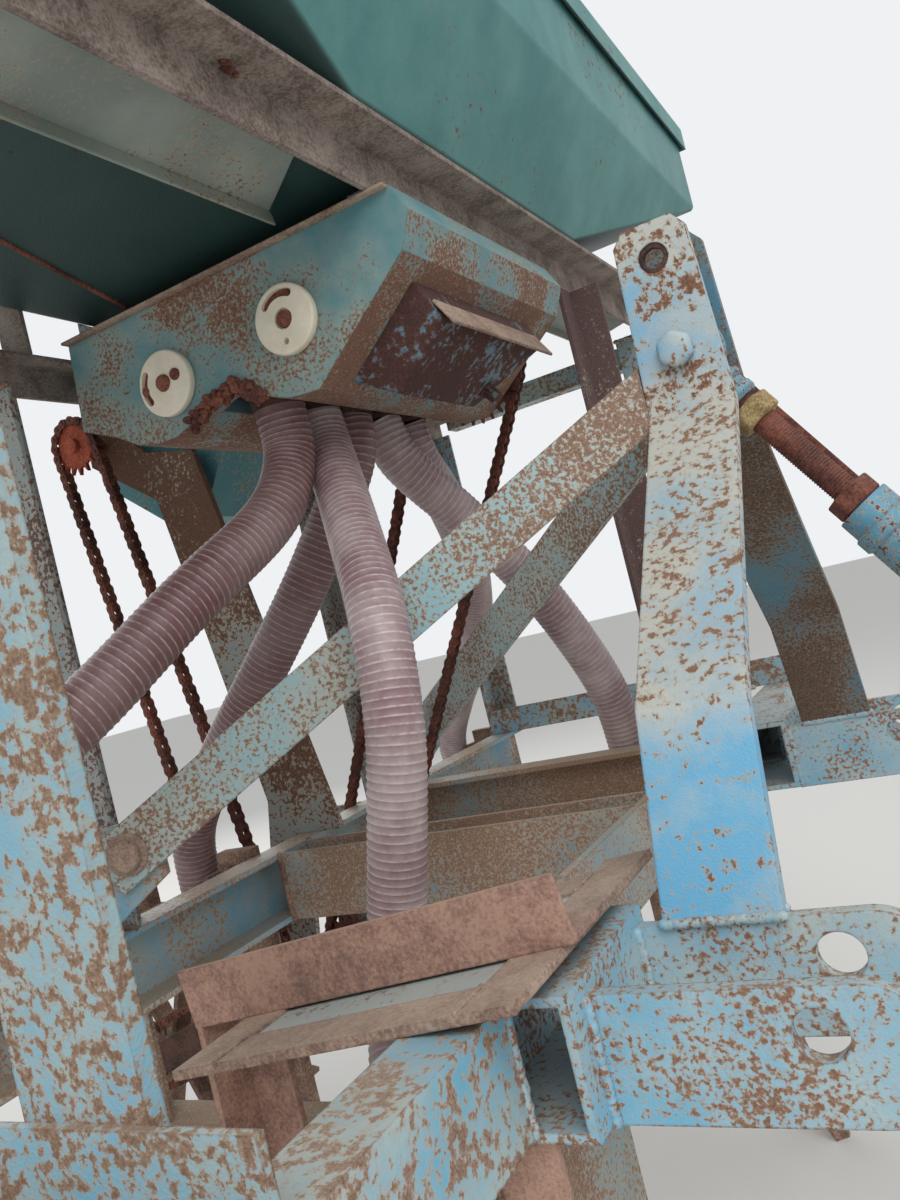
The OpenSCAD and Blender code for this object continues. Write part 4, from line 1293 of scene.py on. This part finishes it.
@dataclass
class MeteringUnit:
    """Bearing discs, folded lips and the cover box of the metering housing."""

    half: float = 0.174
    disc_radius: float = 0.031
    disc_depth: float = 0.009
    places: tuple[Flat, Flat] = ((-0.231, 1.009), (-0.376, 1.000))
    nose_edge: Point = (-0.109, 0.0, 1.024)
    nose_down: Point = (-0.7991, 0.0, -0.6012)
    nose_out: Point = (0.6012, 0.0, -0.7991)
    # Start and end angle of each disc's slot in degrees, and the radius of its middle line.
    slots: tuple[tuple[float, float, float], ...] = ((62, 136, 0.0225), (146, 212, 0.0235))

    def slot(self, centre: Flat, start: float, end: float, radius: float) -> list[Flat]:
        """Outline of a curved slot in a disc.

        Args:
            centre: The disc's centre.
            start: First angle, in degrees.
            end: Last angle.
            radius: Radius of its middle line.

        Returns:
            The outline.
        """
        width = 0.0036
        ends = [(centre[0] + radius * math.cos(math.radians(a)),
                 centre[1] + radius * math.sin(math.radians(a))) for a in (start, end)]
        return [*arc(centre, radius + width, start, end), *arc(ends[1], width, end, end + 180, 6),
                *arc(centre, radius - width, end, start),
                *arc(ends[0], width, start + 180, start + 360, 6)]

    def discs(self) -> list[Piece]:
        """The four discs, with the slots and holes of the near ones.

        Returns:
            The discs.
        """
        far = self.places[1]
        face = -self.half - self.disc_depth
        made = []
        for centre, slot in zip(self.places, self.slots):
            disc = Bench.rod((centre[0], -self.half, centre[1]), (centre[0], face, centre[1]),
                             self.disc_radius, 56)
            Bench.bevel(disc, 0.0022, 3)
            tool = Bench.prism(self.slot(centre, *slot), face - 0.002, face + 0.005)
            made.append(Bench.cut(disc, tool))
        x, z = self.places[0]
        for at, radius, depth in (((x, z), 0.0092, 0.004), ((x - 0.002, z - 0.0195), 0.0028, 0.006)):
            tool = Bench.rod((at[0], face - 0.002, at[1]), (at[0], face + depth, at[1]), radius, 32)
            Bench.cut(made[0], tool)
        ring = Bench.lathe([(0.0030, 0.0), (0.0052, 0.0), (0.0049, -0.0009), (0.0033, -0.0009)], "Y")
        made += Bench.move([ring], Matrix.Translation((x - 0.002, face, z - 0.0195)))
        rim = self.disc_radius
        outer = [(0.0104, 0.0), (rim, 0.0), (rim, 0.0035), (rim - 0.0015, 0.005), (0.0104, 0.005)]
        made += Bench.move([Bench.lathe(outer, "Y", 56)], Matrix.Translation((x, self.half, z)))
        blank = Bench.rod((far[0], self.half, far[1]), (far[0], self.half + 0.005, far[1]), rim, 56)
        made.append(Bench.bevel(blank, 0.0015))
        for disc in made:
            Bench.only(disc)
            bpy.ops.object.shade_smooth_by_angle(angle=math.radians(35))
        return made

    def screws(self) -> list[Piece]:
        """Rusty shaft end, screws and slot floors of the near discs.

        Returns:
            The pieces.
        """
        near, far = self.places
        face = -self.half - self.disc_depth
        made = []
        shaft = Bench.rod((near[0], face + 0.0045, near[1]), (near[0], face + 0.0005, near[1]),
                          0.0078, 20)
        made.append(Bench.bevel(shaft, 0.0012))
        for u, v, radius, lift in ((0.0, 0.0, 0.0082, 0.0035), (0.0155, 0.0035, 0.0058, 0.0025),
                                   (-0.0232, -0.0010, 0.0050, 0.0005)):
            x, z = far[0] + u, far[1] + v
            head = Bench.rod((x, face + 0.003, z), (x, face - lift, z), radius, 12)
            made.append(Bench.bevel(head, radius * 0.3))
        for centre, slot in zip(self.places, self.slots):
            made.append(Bench.prism(self.slot(centre, *slot), face + 0.0044, face + 0.0060))
        return made

    def lips(self) -> list[Piece]:
        """Edges of the side plates folded outwards along the top.

        Returns:
            The lips.
        """
        made = []
        for low, high, x0, x1 in ((-0.184, -0.1739, -0.490, -0.108), (0.1739, 0.182, -0.490, -0.335)):
            made.append(Bench.block((x0, low, 1.0758), (x1, high, 1.0788), 0.0010))
        return made

    def on_nose(self, y: float, down: float, out: float) -> Vector:
        """The point at y across, down the nose's slope from its edge and out from it."""
        edge = Vector(self.nose_edge) + Vector(self.nose_down) * down
        return edge + Vector(self.nose_out) * out + Vector((0, y, 0))

    def box(self) -> list[Piece]:
        """The tapered cover box under the nose, with its top flange and a bolt.

        Returns:
            The pieces.
        """
        low = [(-0.136, 0.020), (0.126, 0.020), (0.112, 0.124), (-0.134, 0.124)]
        high = [(-0.120, 0.031), (0.102, 0.031), (0.043, 0.110), (-0.109, 0.110)]
        verts = [self.on_nose(y, s, -0.001) for y, s in low]
        verts += [self.on_nose(y, s, 0.035) for y, s in high]
        made = [Bench.bevel(Bench.hull(verts, SIX_FACES), 0.003)]
        return made + Bench.bolt(self.on_nose(0.045, 0.088, 0.0352), self.nose_out, 0.013, 0.014)

    def flange_plate(self) -> Piece:
        """The pale edge plate that stands out over the cover box."""
        corners = [(-0.124, 0.026, 0.020), (0.106, 0.026, 0.020), (0.106, 0.029, 0.049),
                   (-0.124, 0.029, 0.049)]
        verts = [self.on_nose(y, s, d) for y, s, d in corners]
        lift = Vector(self.nose_down) * -0.003
        verts += [corner + lift for corner in verts]
        return Bench.bevel(Bench.hull(verts, SIX_FACES), 0.0007, 1)

    def build(self, palette: Palette) -> None:
        """Builds what stands on the metering housing.

        Args:
            palette: The finishes.
        """
        discs = Bench.finish(self.discs(), "nylon_discs", palette.nylon, Slot.NYLON)
        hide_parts("bearing_discs")
        Bench.finish(self.screws(), "disc_screws", palette.red_rust, Slot.RED_IRON)
        Bench.finish(self.lips(), "housing_lips", palette.tan_rust, Slot.TEAL)
        Bench.finish(self.box(), "nose_cover_box", palette.nose, Slot.TEAL)
        Bench.finish([self.flange_plate()], "nose_flange", palette.tan_rust, Slot.TEAL)
        trim = [Bench.block((-0.756, 0.087, 1.0905), (-0.552, 0.193, 1.0925), 0.0006),
                Bench.block((-0.756, 0.087, 1.080), (-0.7535, 0.193, 1.0905))]
        Bench.finish(trim, "feed_box_lid", palette.blue_box, Slot.TEAL)


@dataclass
class TopLink:
    """Top link: ball eyes in collars, threaded rods with nuts, and the painted tube."""

    pin: Point = (0.055, 0.0, 0.900)
    tilt: float = 57.0
    length: float = 0.600
    tube: Flat = (0.200, 0.440)
    bore: float = 0.0096
    eyes: Flat = (0.0335, 0.0246)

    def half(self, eye: float) -> dict[str, list[Piece]]:
        """One end, from its eye to the tube, along X from the origin.

        Args:
            eye: Outer radius of the eye.

        Returns:
            Its pieces by finish.
        """
        ball = [(self.bore, -0.018), (0.52 * eye, -0.018), *arc((0, 0), 0.75 * eye, -36, 36),
                (0.52 * eye, 0.018), (self.bore, 0.018)]
        rounds = [(0.70, 0.0085), (0.76, 0.011), (0.93, 0.011), (1.0, 0.008)]
        collar = [(k * eye, -s) for k, s in rounds] + [(k * eye, s) for k, s in reversed(rounds)]
        neck = [(0.0, 0.75 * eye), (0.0165, 0.75 * eye), (0.0165, 0.038), (0.0195, 0.040),
                (0.0195, 0.046),
                (0.0165, 0.048), (0.0165, 0.054), (0.0185, 0.056), (0.0185, 0.062), (0.015, 0.066),
                (0.0, 0.066)]
        start, lead, turns = 0.062, 0.0027, 54
        thread = [(0.0, start - 0.002)]
        for k in range(turns):
            x = start + k * lead
            thread += [(0.0122, x), (0.0112, x + lead / 2)]
        thread.append((0.0, start + turns * lead))
        nut = Bench.bevel(Bench.rod((0.071, 0, 0), (0.090, 0, 0), 0.0205, 6), 0.002)
        lock = Bench.bevel(Bench.rod((0.182, 0, 0), (0.1995, 0, 0), 0.0215, 6), 0.002)
        return {"eye": [Bench.lathe(ball, "Y", 36), Bench.lathe(collar, "Y", 36),
                        Bench.lathe(neck, "X", 32)],
                "nut": [nut], "rod": [Bench.lathe(thread, "X", 20), lock]}

    def strap(self) -> Piece:
        """The perforated locking strap beside the upper rod.

        Returns:
            The strap.
        """
        outline = [*arc((0.0, 0.004), 0.013, 90, 270), (0.215, -0.006), (0.215, 0.014)]
        made = Bench.prism(outline, 0.0192, 0.0232)
        for k in range(8):
            x = 0.034 + 0.023 * k
            Bench.cut(made, Bench.rod((x, 0.015, 0.004), (x, 0.028, 0.004), 0.0034, 16))
        Bench.cut(made, Bench.rod((0, 0.015, 0), (0, 0.028, 0), self.bore, 32))
        return made

    def build(self, palette: Palette) -> None:
        """Builds the top link on its pin.

        Args:
            palette: The finishes.
        """
        sets: dict[str, list[Piece]] = {"eye": [], "nut": [], "rod": []}
        for mirrored, eye in zip((False, True), self.eyes):
            for kind, pieces in self.half(eye).items():
                if mirrored:
                    turn = Matrix.Translation((self.length, 0, 0)) @ Matrix.Rotation(math.pi, 4, "Y")
                    Bench.move(pieces, turn)
                sets[kind] += pieces
        sets["rod"].append(self.strap())
        a, b = self.tube
        end = [(0.0125, 0.0), (0.0235, 0.0), (0.024, 0.001), (0.024, 0.018), (0.0265, 0.020),
               (0.0265, 0.032), (0.024, 0.034)]
        profile = [(r, a + s) for r, s in end] + [(r, b - s) for r, s in reversed(end)]
        sets["eye"].append(Bench.lathe(profile, "X", 40))
        place = Matrix.Translation(self.pin) @ Matrix.Rotation(math.radians(self.tilt), 4, "Y")
        finishes = {"eye": (palette.link_blue, "link_tube_and_eyes"),
                    "nut": (palette.brass_nut, "link_nuts"), "rod": (palette.red_rust, "link_rods")}
        for kind, (material, name) in finishes.items():
            piece = Bench.finish(Bench.move(sets[kind], place), name, material, Slot.RUSTY,
                                 "top_link_body")
            if kind == "eye":
                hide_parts("top_link")


@dataclass
class Mast:
    """Pin bolt, bushes in the open holes and the bolts at the feet of the braces."""

    pin: Flat = (0.055, 0.900)
    hole: Flat = (0.055, 0.982)
    face: float = 0.036
    hexagon: float = 0.0172
    washer: float = 0.002

    def build(self, palette: Palette) -> None:
        """Builds the mast's fittings.

        Args:
            palette: The finishes.
        """
        x, z = self.pin
        head = Bench.rod((x, -self.face, z), (x, -self.face - 0.0125, z), self.hexagon, 6)
        Bench.finish([Bench.bevel(head, 0.0042, 3)], "pin_head", palette.mast, Slot.RUSTY)
        seat = self.face + self.washer
        nut = Bench.rod((x, seat, z), (x, seat + 0.0145, z), self.hexagon, 6)
        parts = [Bench.rod((x, -self.face - 0.001, z), (x, 0.0535, z), 0.00944, 32),
                 Bench.bevel(nut, 0.0015),
                 Bench.rod((x, self.face, z), (x, seat, z), 0.0195, 28)]
        piece = Bench.finish(parts, "pin_and_nut", palette.rust, Slot.RUSTY)
        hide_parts("mast_bolts")
        bushes = []
        for side in Side:
            profile = [(0.0128, 0.0), (0.0128, 0.0068), (0.0095, 0.0068), (0.0088, 0.0060),
                       (0.0088, 0.0)]
            ring = Bench.lathe(profile, "Y", 32)
            start = -0.0350 if side is Side.RIGHT else 0.0282
            bushes += Bench.move([ring], Matrix.Translation((self.hole[0], start, self.hole[1])))
        Bench.finish(bushes, "mast_hole_bushes", palette.dark_rust, Slot.RUSTY)
        bolts = []
        for side in Side:
            out = Vector((0.4487, 0.8937 * side.value, 0))
            foot = Vector((-0.462, 0.272 * side.value, 0.591)) + out * 0.0081
            bolts += [Bench.bevel(Bench.rod(foot, foot + out * 0.0022, 0.019), 0.0006, 1),
                      Bench.bevel(Bench.rod(foot, foot + out * 0.0118, 0.0146, 6), 0.0022)]
        Bench.finish(bolts, "brace_foot_bolts", palette.tan_rust, Slot.RUSTY)


@dataclass
class Step:
    """The sheet panel inside the rim bars of the tilted step, and the beads at its corners."""

    corner: Point = (-0.247, 0.0, 0.49213)
    tilt: float = 7.8
    length: float = 0.24224
    rim: float = 0.035
    y: Flat = (-0.474, -0.260)
    gap: float = 0.0005
    bead_z: float = 0.0062

    def build(self, palette: Palette, welding: Welding) -> None:
        """Lays the panel.

        Args:
            palette: The finishes.
            welding: Where the beads come from.
        """
        place = Matrix.Translation(self.corner) @ Matrix.Rotation(math.radians(-self.tilt), 4, "Y")
        y0, y1 = self.y
        inset = self.rim + self.gap
        panel = Bench.block((inset, y0 + inset, 0.0030),
                            (self.length - inset, y1 - inset, 0.0040))
        Bench.finish(Bench.move([panel], place), "step_panel", palette.panel, Slot.BLUE)
        runs = ((y0 + 0.002, y0 + self.rim - 0.001), (y1 - self.rim + 0.001, y1 - 0.002))
        lines = [((x, start, self.bead_z), (x, end, self.bead_z))
                 for start, end in runs for x in (self.rim, self.length - self.rim)]
        beads = welding.beads(lines, 0.0016)
        Bench.finish(Bench.move([beads], place), "step_beads", palette.tan_rust, Slot.BLUE)


@dataclass
class Drive:
    """Hubs, bearings and fasteners of the chain drive and the ground wheel."""

    metering: Flat = (-0.231, 1.009)
    feed: Flat = (-0.711, 1.050)
    counter: Flat = (-0.600, 0.330)
    wheel: Flat = (-0.905, 0.225)
    metering_plane: float = 0.186
    feed_plane: float = 0.020
    wheel_plane: float = 0.097
    sprocket: float = 0.005
    rounding: float = 0.0015
    bearing_radius: float = 0.024
    bearing_depth: float = 0.008
    bearing_bolts: float = 0.019
    rim_radius: float = 0.1965
    rim_planes: Flat = (0.1105, 0.1595)

    def hub(self, at: Flat, seat: float, reach: float, radius: float, bore: float = 0.0099) -> Piece:
        """A turned hub on the face of a sprocket or a wheel.

        Args:
            at: Its centre in X and Z.
            seat: The face that it stands on.
            reach: How far it stands off that face, negative to the right.
            radius: Its radius.
            bore: Radius of its bore.

        Returns:
            The hub.
        """
        rise = math.copysign(self.rounding, reach)
        profile = [(bore, 0.0), (radius, 0.0), (radius, reach - rise),
                   (radius - self.rounding, reach), (bore, reach)]
        place = Matrix.Translation((at[0], seat, at[1]))
        return Bench.move([Bench.lathe(profile, "Y", 32)], place)[0]

    def chains(self, palette: Palette) -> None:
        """Lays the three chains.

        Args:
            palette: The finishes.
        """
        RollerChain("chain_metering", self.metering, 32, self.counter, 20,
                    self.metering_plane).build(palette)
        RollerChain("chain_feed", self.counter, 20, self.feed, 16, self.feed_plane).build(palette)
        RollerChain("chain_wheel", self.counter, 20, self.wheel, 20, self.wheel_plane,
                    "wheel_arm_body").build(palette)

    def bearing(self, at: Flat, y0: float, way: int) -> list[Piece]:
        """A two-bolt flange bearing.

        Args:
            at: Its centre in X and Z.
            y0: Face that it is bolted to.
            way: Its side, as the sign of Y.

        Returns:
            The bearing and its bolts.
        """
        bore, radius, depth = 0.0105, self.bearing_radius, self.bearing_depth * way
        profile = [(bore, 0.0), (radius, 0.0), (radius, depth / 2), (0.75 * radius, depth),
                   (bore, depth)]
        x, z = at
        made = Bench.move([Bench.lathe(profile, "Y", 32)], Matrix.Translation((x, y0, z)))
        for aside in (self.bearing_bolts, -self.bearing_bolts):
            made += Bench.bolt((x + aside, y0 + 0.0035 * way, z - 0.001), (0, way, 0), 0.008, 0.004,
                               False)
        return made

    def build(self, palette: Palette) -> None:
        """Builds the fittings of each shaft.

        Args:
            palette: The finishes.
        """
        off = self.sprocket / 2
        Bench.finish([self.hub(self.metering, self.metering_plane + off, 0.0085, 0.022)],
                     "metering_hub", palette.red_rust, Slot.RED_IRON, "metering_rotor_body")
        Bench.finish([self.hub(self.feed, self.feed_plane + off, 0.0115, 0.0175)], "feed_hub",
                     palette.orange_rust, Slot.RED_IRON, "feed_rotor_body")
        hubs = [self.hub(self.counter, seat, reach, 0.020)
                for seat, reach in ((self.feed_plane + off, 0.0115),
                                    (self.wheel_plane - off, -0.0085),
                                    (self.metering_plane + off, 0.0080))]
        Bench.finish(hubs, "countershaft_hubs", palette.red_rust, Slot.RED_IRON, "countershaft_body")
        bearings = [*self.bearing(self.feed, 0.0703, 1), *self.bearing(self.counter, 0.0617, -1),
                    *self.bearing(self.counter, 0.2017, -1)]
        Bench.finish(bearings, "flange_bearings", palette.rust, Slot.RUSTY)
        rims = []
        for y in self.rim_planes:
            Bench.clear()
            bpy.ops.mesh.primitive_torus_add(major_radius=self.rim_radius, minor_radius=0.0035,
                                             major_segments=72, minor_segments=8,
                                             rotation=(math.pi / 2, 0, 0))
            bpy.ops.object.transform_apply(location=True, rotation=True, scale=True)
            rim = bpy.context.object
            bpy.ops.object.shade_smooth()
            rims += Bench.move([rim], Matrix.Translation((self.wheel[0], y, self.wheel[1])))
        rims.append(self.hub(self.wheel, 0.1635, 0.002, 0.036, 0.0126))
        Bench.finish(rims, "wheel_rim_beads", palette.rust, Slot.RUSTY, "wheel_body")


@dataclass
class Tines:
    """Bolts of the shank clamps and the bands on the seed boots."""

    # Shank's X and Y, top of the boot, foot of the clamp, and the side that the clamp's bolts face.
    rows: tuple[tuple[float, float, float, float, int], ...] = (
        (-0.547, -0.660, 0.400, 0.450, 0), (-0.115, -0.330, 0.300, 0.275, -1),
        (-0.547, -0.020, 0.400, 0.450, 0), (-0.115, 0.330, 0.430, 0.450, 1),
        (-0.547, 0.660, 0.400, 0.450, 0))
    band: float = 0.0275

    def build(self, palette: Palette) -> None:
        """Builds the fittings of each tine.

        Args:
            palette: The finishes.
        """
        bolts, bands = [], []
        for x, y, boot_top, clamp_z, way in self.rows:
            if way:
                for dz in (0.014, 0.041):
                    bolts += Bench.bolt((x - 0.025, y + way * 0.0082, clamp_z + dz), (0, way, 0), 0.017,
                                        0.007)
            else:
                for dy in (-0.020, 0.020):
                    bolts += Bench.bolt((x - 0.0583, y + dy, clamp_z + 0.028), (-1, 0, 0), 0.015, 0.006)
            boot = (x - 0.092, y)
            skin = self.band + 0.0015
            profile = [(self.band, -0.006), (skin, -0.006), (skin, 0.006), (self.band, 0.006)]
            band = Bench.lathe(profile, "X", 36)
            turn = Matrix.Translation((boot[0], boot[1], boot_top - 0.012)) @ Matrix.Rotation(
                math.pi / 2, 4, "Y")
            bands += Bench.move([band], turn)
            ear = Bench.block((boot[0] - 0.006, y - 0.036, boot_top - 0.017),
                              (boot[0] + 0.006, y - 0.0278, boot_top - 0.007), 0.0012)
            bands.append(ear)
        Bench.finish(bolts, "clamp_bolts", palette.rust, Slot.RUSTY)
        Bench.finish(bands, "boot_bands", palette.dark_rust, Slot.RUSTY)


@dataclass
class Studio:
    """Camera, soft light, pale floor and backdrop."""

    place: Point = (0.238, -0.904, 0.720)
    right: Point = (0.8574, 0.4546, -0.2410)
    up: Point = (0.2234, 0.0931, 0.9702)
    look: Point = (-0.4635, 0.8858, 0.0218)
    lens_mm: float = 30.0
    sky_light: float = 0.62
    sky_seen: float = 0.9

    def camera(self) -> None:
        """Sets the camera at the photograph's viewing angle."""
        data = bpy.data.cameras.new("view")
        data.sensor_fit = "VERTICAL"
        data.sensor_height = 36.0
        data.lens = self.lens_mm
        data.clip_start, data.clip_end = 0.01, 50.0
        camera = bpy.data.objects.new("view", data)
        columns = [Vector(self.right), Vector(self.up), -Vector(self.look)]
        turn = Matrix(columns).transposed().to_4x4()
        camera.matrix_world = Matrix.Translation(Vector(self.place) - ORIGIN) @ turn
        bpy.context.scene.collection.objects.link(camera)
        bpy.context.scene.camera = camera

    def lights(self) -> None:
        """Adds a soft key light, a weaker fill and an even world."""
        for name, place, size, power in [("key", (1.6, -2.6, 3.4), 3.0, 105.0),
                                         ("fill", (-2.8, 1.8, 2.4), 3.0, 45.0)]:
            data = bpy.data.lights.new(name, "AREA")
            data.size, data.energy = size, power
            lamp = bpy.data.objects.new(name, data)
            lamp.location = Vector(place) - ORIGIN
            aim = Vector((-0.3, 0.0, 0.7)) - Vector(place)
            lamp.rotation_euler = aim.to_track_quat("-Z", "Y").to_euler()
            bpy.context.scene.collection.objects.link(lamp)
        world = bpy.data.worlds.new("studio")
        world.use_nodes = True
        tree = world.node_tree
        tree.nodes.clear()
        rays = tree.nodes.new("ShaderNodeLightPath")
        seen = tree.nodes.new("ShaderNodeMath")
        seen.operation = "MAXIMUM"
        tree.links.new(rays.outputs["Is Camera Ray"], seen.inputs[0])
        tree.links.new(rays.outputs["Is Glossy Ray"], seen.inputs[1])
        amount = tree.nodes.new("ShaderNodeMapRange")
        tree.links.new(seen.outputs[0], amount.inputs[0])
        amount.inputs[3].default_value = self.sky_light
        amount.inputs[4].default_value = self.sky_seen
        sky = tree.nodes.new("ShaderNodeBackground")
        sky.inputs[0].default_value = (0.96, 0.98, 1.0, 1.0)
        tree.links.new(amount.outputs[0], sky.inputs[1])
        end = tree.nodes.new("ShaderNodeOutputWorld")
        tree.links.new(sky.outputs[0], end.inputs[0])
        bpy.context.scene.world = world

    def floor(self) -> None:
        """Lays the floor."""
        Bench.clear()
        bpy.ops.mesh.primitive_plane_add(size=40, location=(0, 0, -ORIGIN.z))
        plane = bpy.context.object
        plane.name = "floor"
        g = Graph("pale_floor")
        shader = g.add("BsdfPrincipled", Base_Color=linear("#dcdad6"), Roughness=0.9)
        g.add("OutputMaterial", Surface=shader.outputs[0])
        plane.data.materials.append(g.material)


@dataclass
class Solids:
    """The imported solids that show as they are, with their finishes."""

    nodes: dict = field(default_factory=lambda: frame["nodes"])

    def dress(self, palette: Palette) -> None:
        """Gives each solid its finish.

        Args:
            palette: The finishes.
        """
        finishes = {
            palette.blue: ["hitch_right", "hitch_left"],
            palette.mast: ["mast_bar_right", "mast_bolts"],
            palette.brace: ["brace_right", "brace_left"],
            palette.channel: ["rear_channel"],
            palette.frame_end: ["end_frame_right", "end_frame_left"],
            palette.tube: ["front_tubes"],
            palette.brown_mast: ["mast_bar_left"],
            palette.member: ["side_member_left", "side_member_right", "centre_member"],
            palette.tan_rust: ["step"],
            palette.teal: ["hopper", "hopper_lid"],
            palette.blue_box: ["feed_box"],
            palette.housing: ["metering_housing"],
            palette.mauve_rust: ["upper_front_beam", "upper_rear_beam"],
            palette.posts: ["posts"],
            palette.arm_rust: ["stand"],
            palette.dark_rust: ["seed_outlets", "wheel_arm"],
            palette.red_rust: ["metering_rotor", "countershaft", "top_link"],
            palette.orange_rust: ["feed_rotor"],
            palette.nylon: ["bearing_discs"],
            palette.hose: ["hose_1", "hose_2", "hose_3", "hose_4", "hose_5"],
            palette.upright: ["drive_upright"],
        }
        named = {node: finish for finish, nodes in finishes.items() for node in nodes}
        for name, solid in self.nodes.items():
            solid.data.materials.clear()
            solid.data.materials.append(named.get(name, palette.rust))


# Routes of the hoses from outlet to boot, in millimetres.
HOSE_ROUTES: dict[str, list[tuple[int, int, int]]] = {
    "hose_1": [(-300, -120, 955), (-300, -124, 905), (-300, -175, 850), (-325, -275, 790),
               (-376, -400, 705), (-470, -510, 640), (-562, -580, 590), (-628, -632, 525),
               (-639, -655, 455), (-639, -660, 400)],
    "hose_2": [(-300, -60, 955), (-288, -72, 905), (-240, -140, 820), (-200, -200, 740),
               (-194, -224, 650), (-212, -228, 570), (-232, -228, 500), (-238, -245, 440),
               (-225, -285, 390), (-208, -322, 345), (-207, -330, 300)],
    "hose_3": [(-300, 0, 955), (-308, -6, 905), (-370, -30, 810), (-450, -45, 720), (-540, -45, 635),
               (-614, -35, 560), (-637, -22, 480), (-639, -20, 400)],
    "hose_4": [(-300, 60, 955), (-290, 74, 905), (-262, 128, 838), (-235, 190, 762), (-215, 245, 680),
               (-203, 298, 590), (-205, 325, 510), (-207, 330, 430)],
    "hose_5": [(-300, 120, 955), (-300, 132, 915), (-308, 190, 865), (-345, 290, 790),
               (-420, 410, 700), (-500, 510, 640), (-570, 582, 588), (-629, 634, 522),
               (-639, 655, 455), (-639, 660, 400)],
}


def main() -> None:
    """Builds the studio and every piece of the machine."""
    logging.basicConfig(level=logging.INFO, format="%(name)s %(message)s")
    bpy.context.scene.view_settings.view_transform = "Standard"
    palette = Palette()
    studio = Studio()
    studio.camera()
    studio.lights()
    studio.floor()
    Solids().dress(palette)
    for name, route_mm in HOSE_ROUTES.items():
        route = [(x / 1000, y / 1000, z / 1000) for x, y, z in route_mm]
        SeedHose(name, route, reddened=name in ("hose_1", "hose_3")).build(palette)
    drive = Drive()
    drive.chains(palette)
    for assembly in (drive, Hopper(), MeteringUnit(), TopLink(), Mast()):
        assembly.build(palette)
    welding = Welding()
    welding.build(palette)
    Step().build(palette, welding)
    Tines().build(palette)


if __name__ == "__main__":
    main()
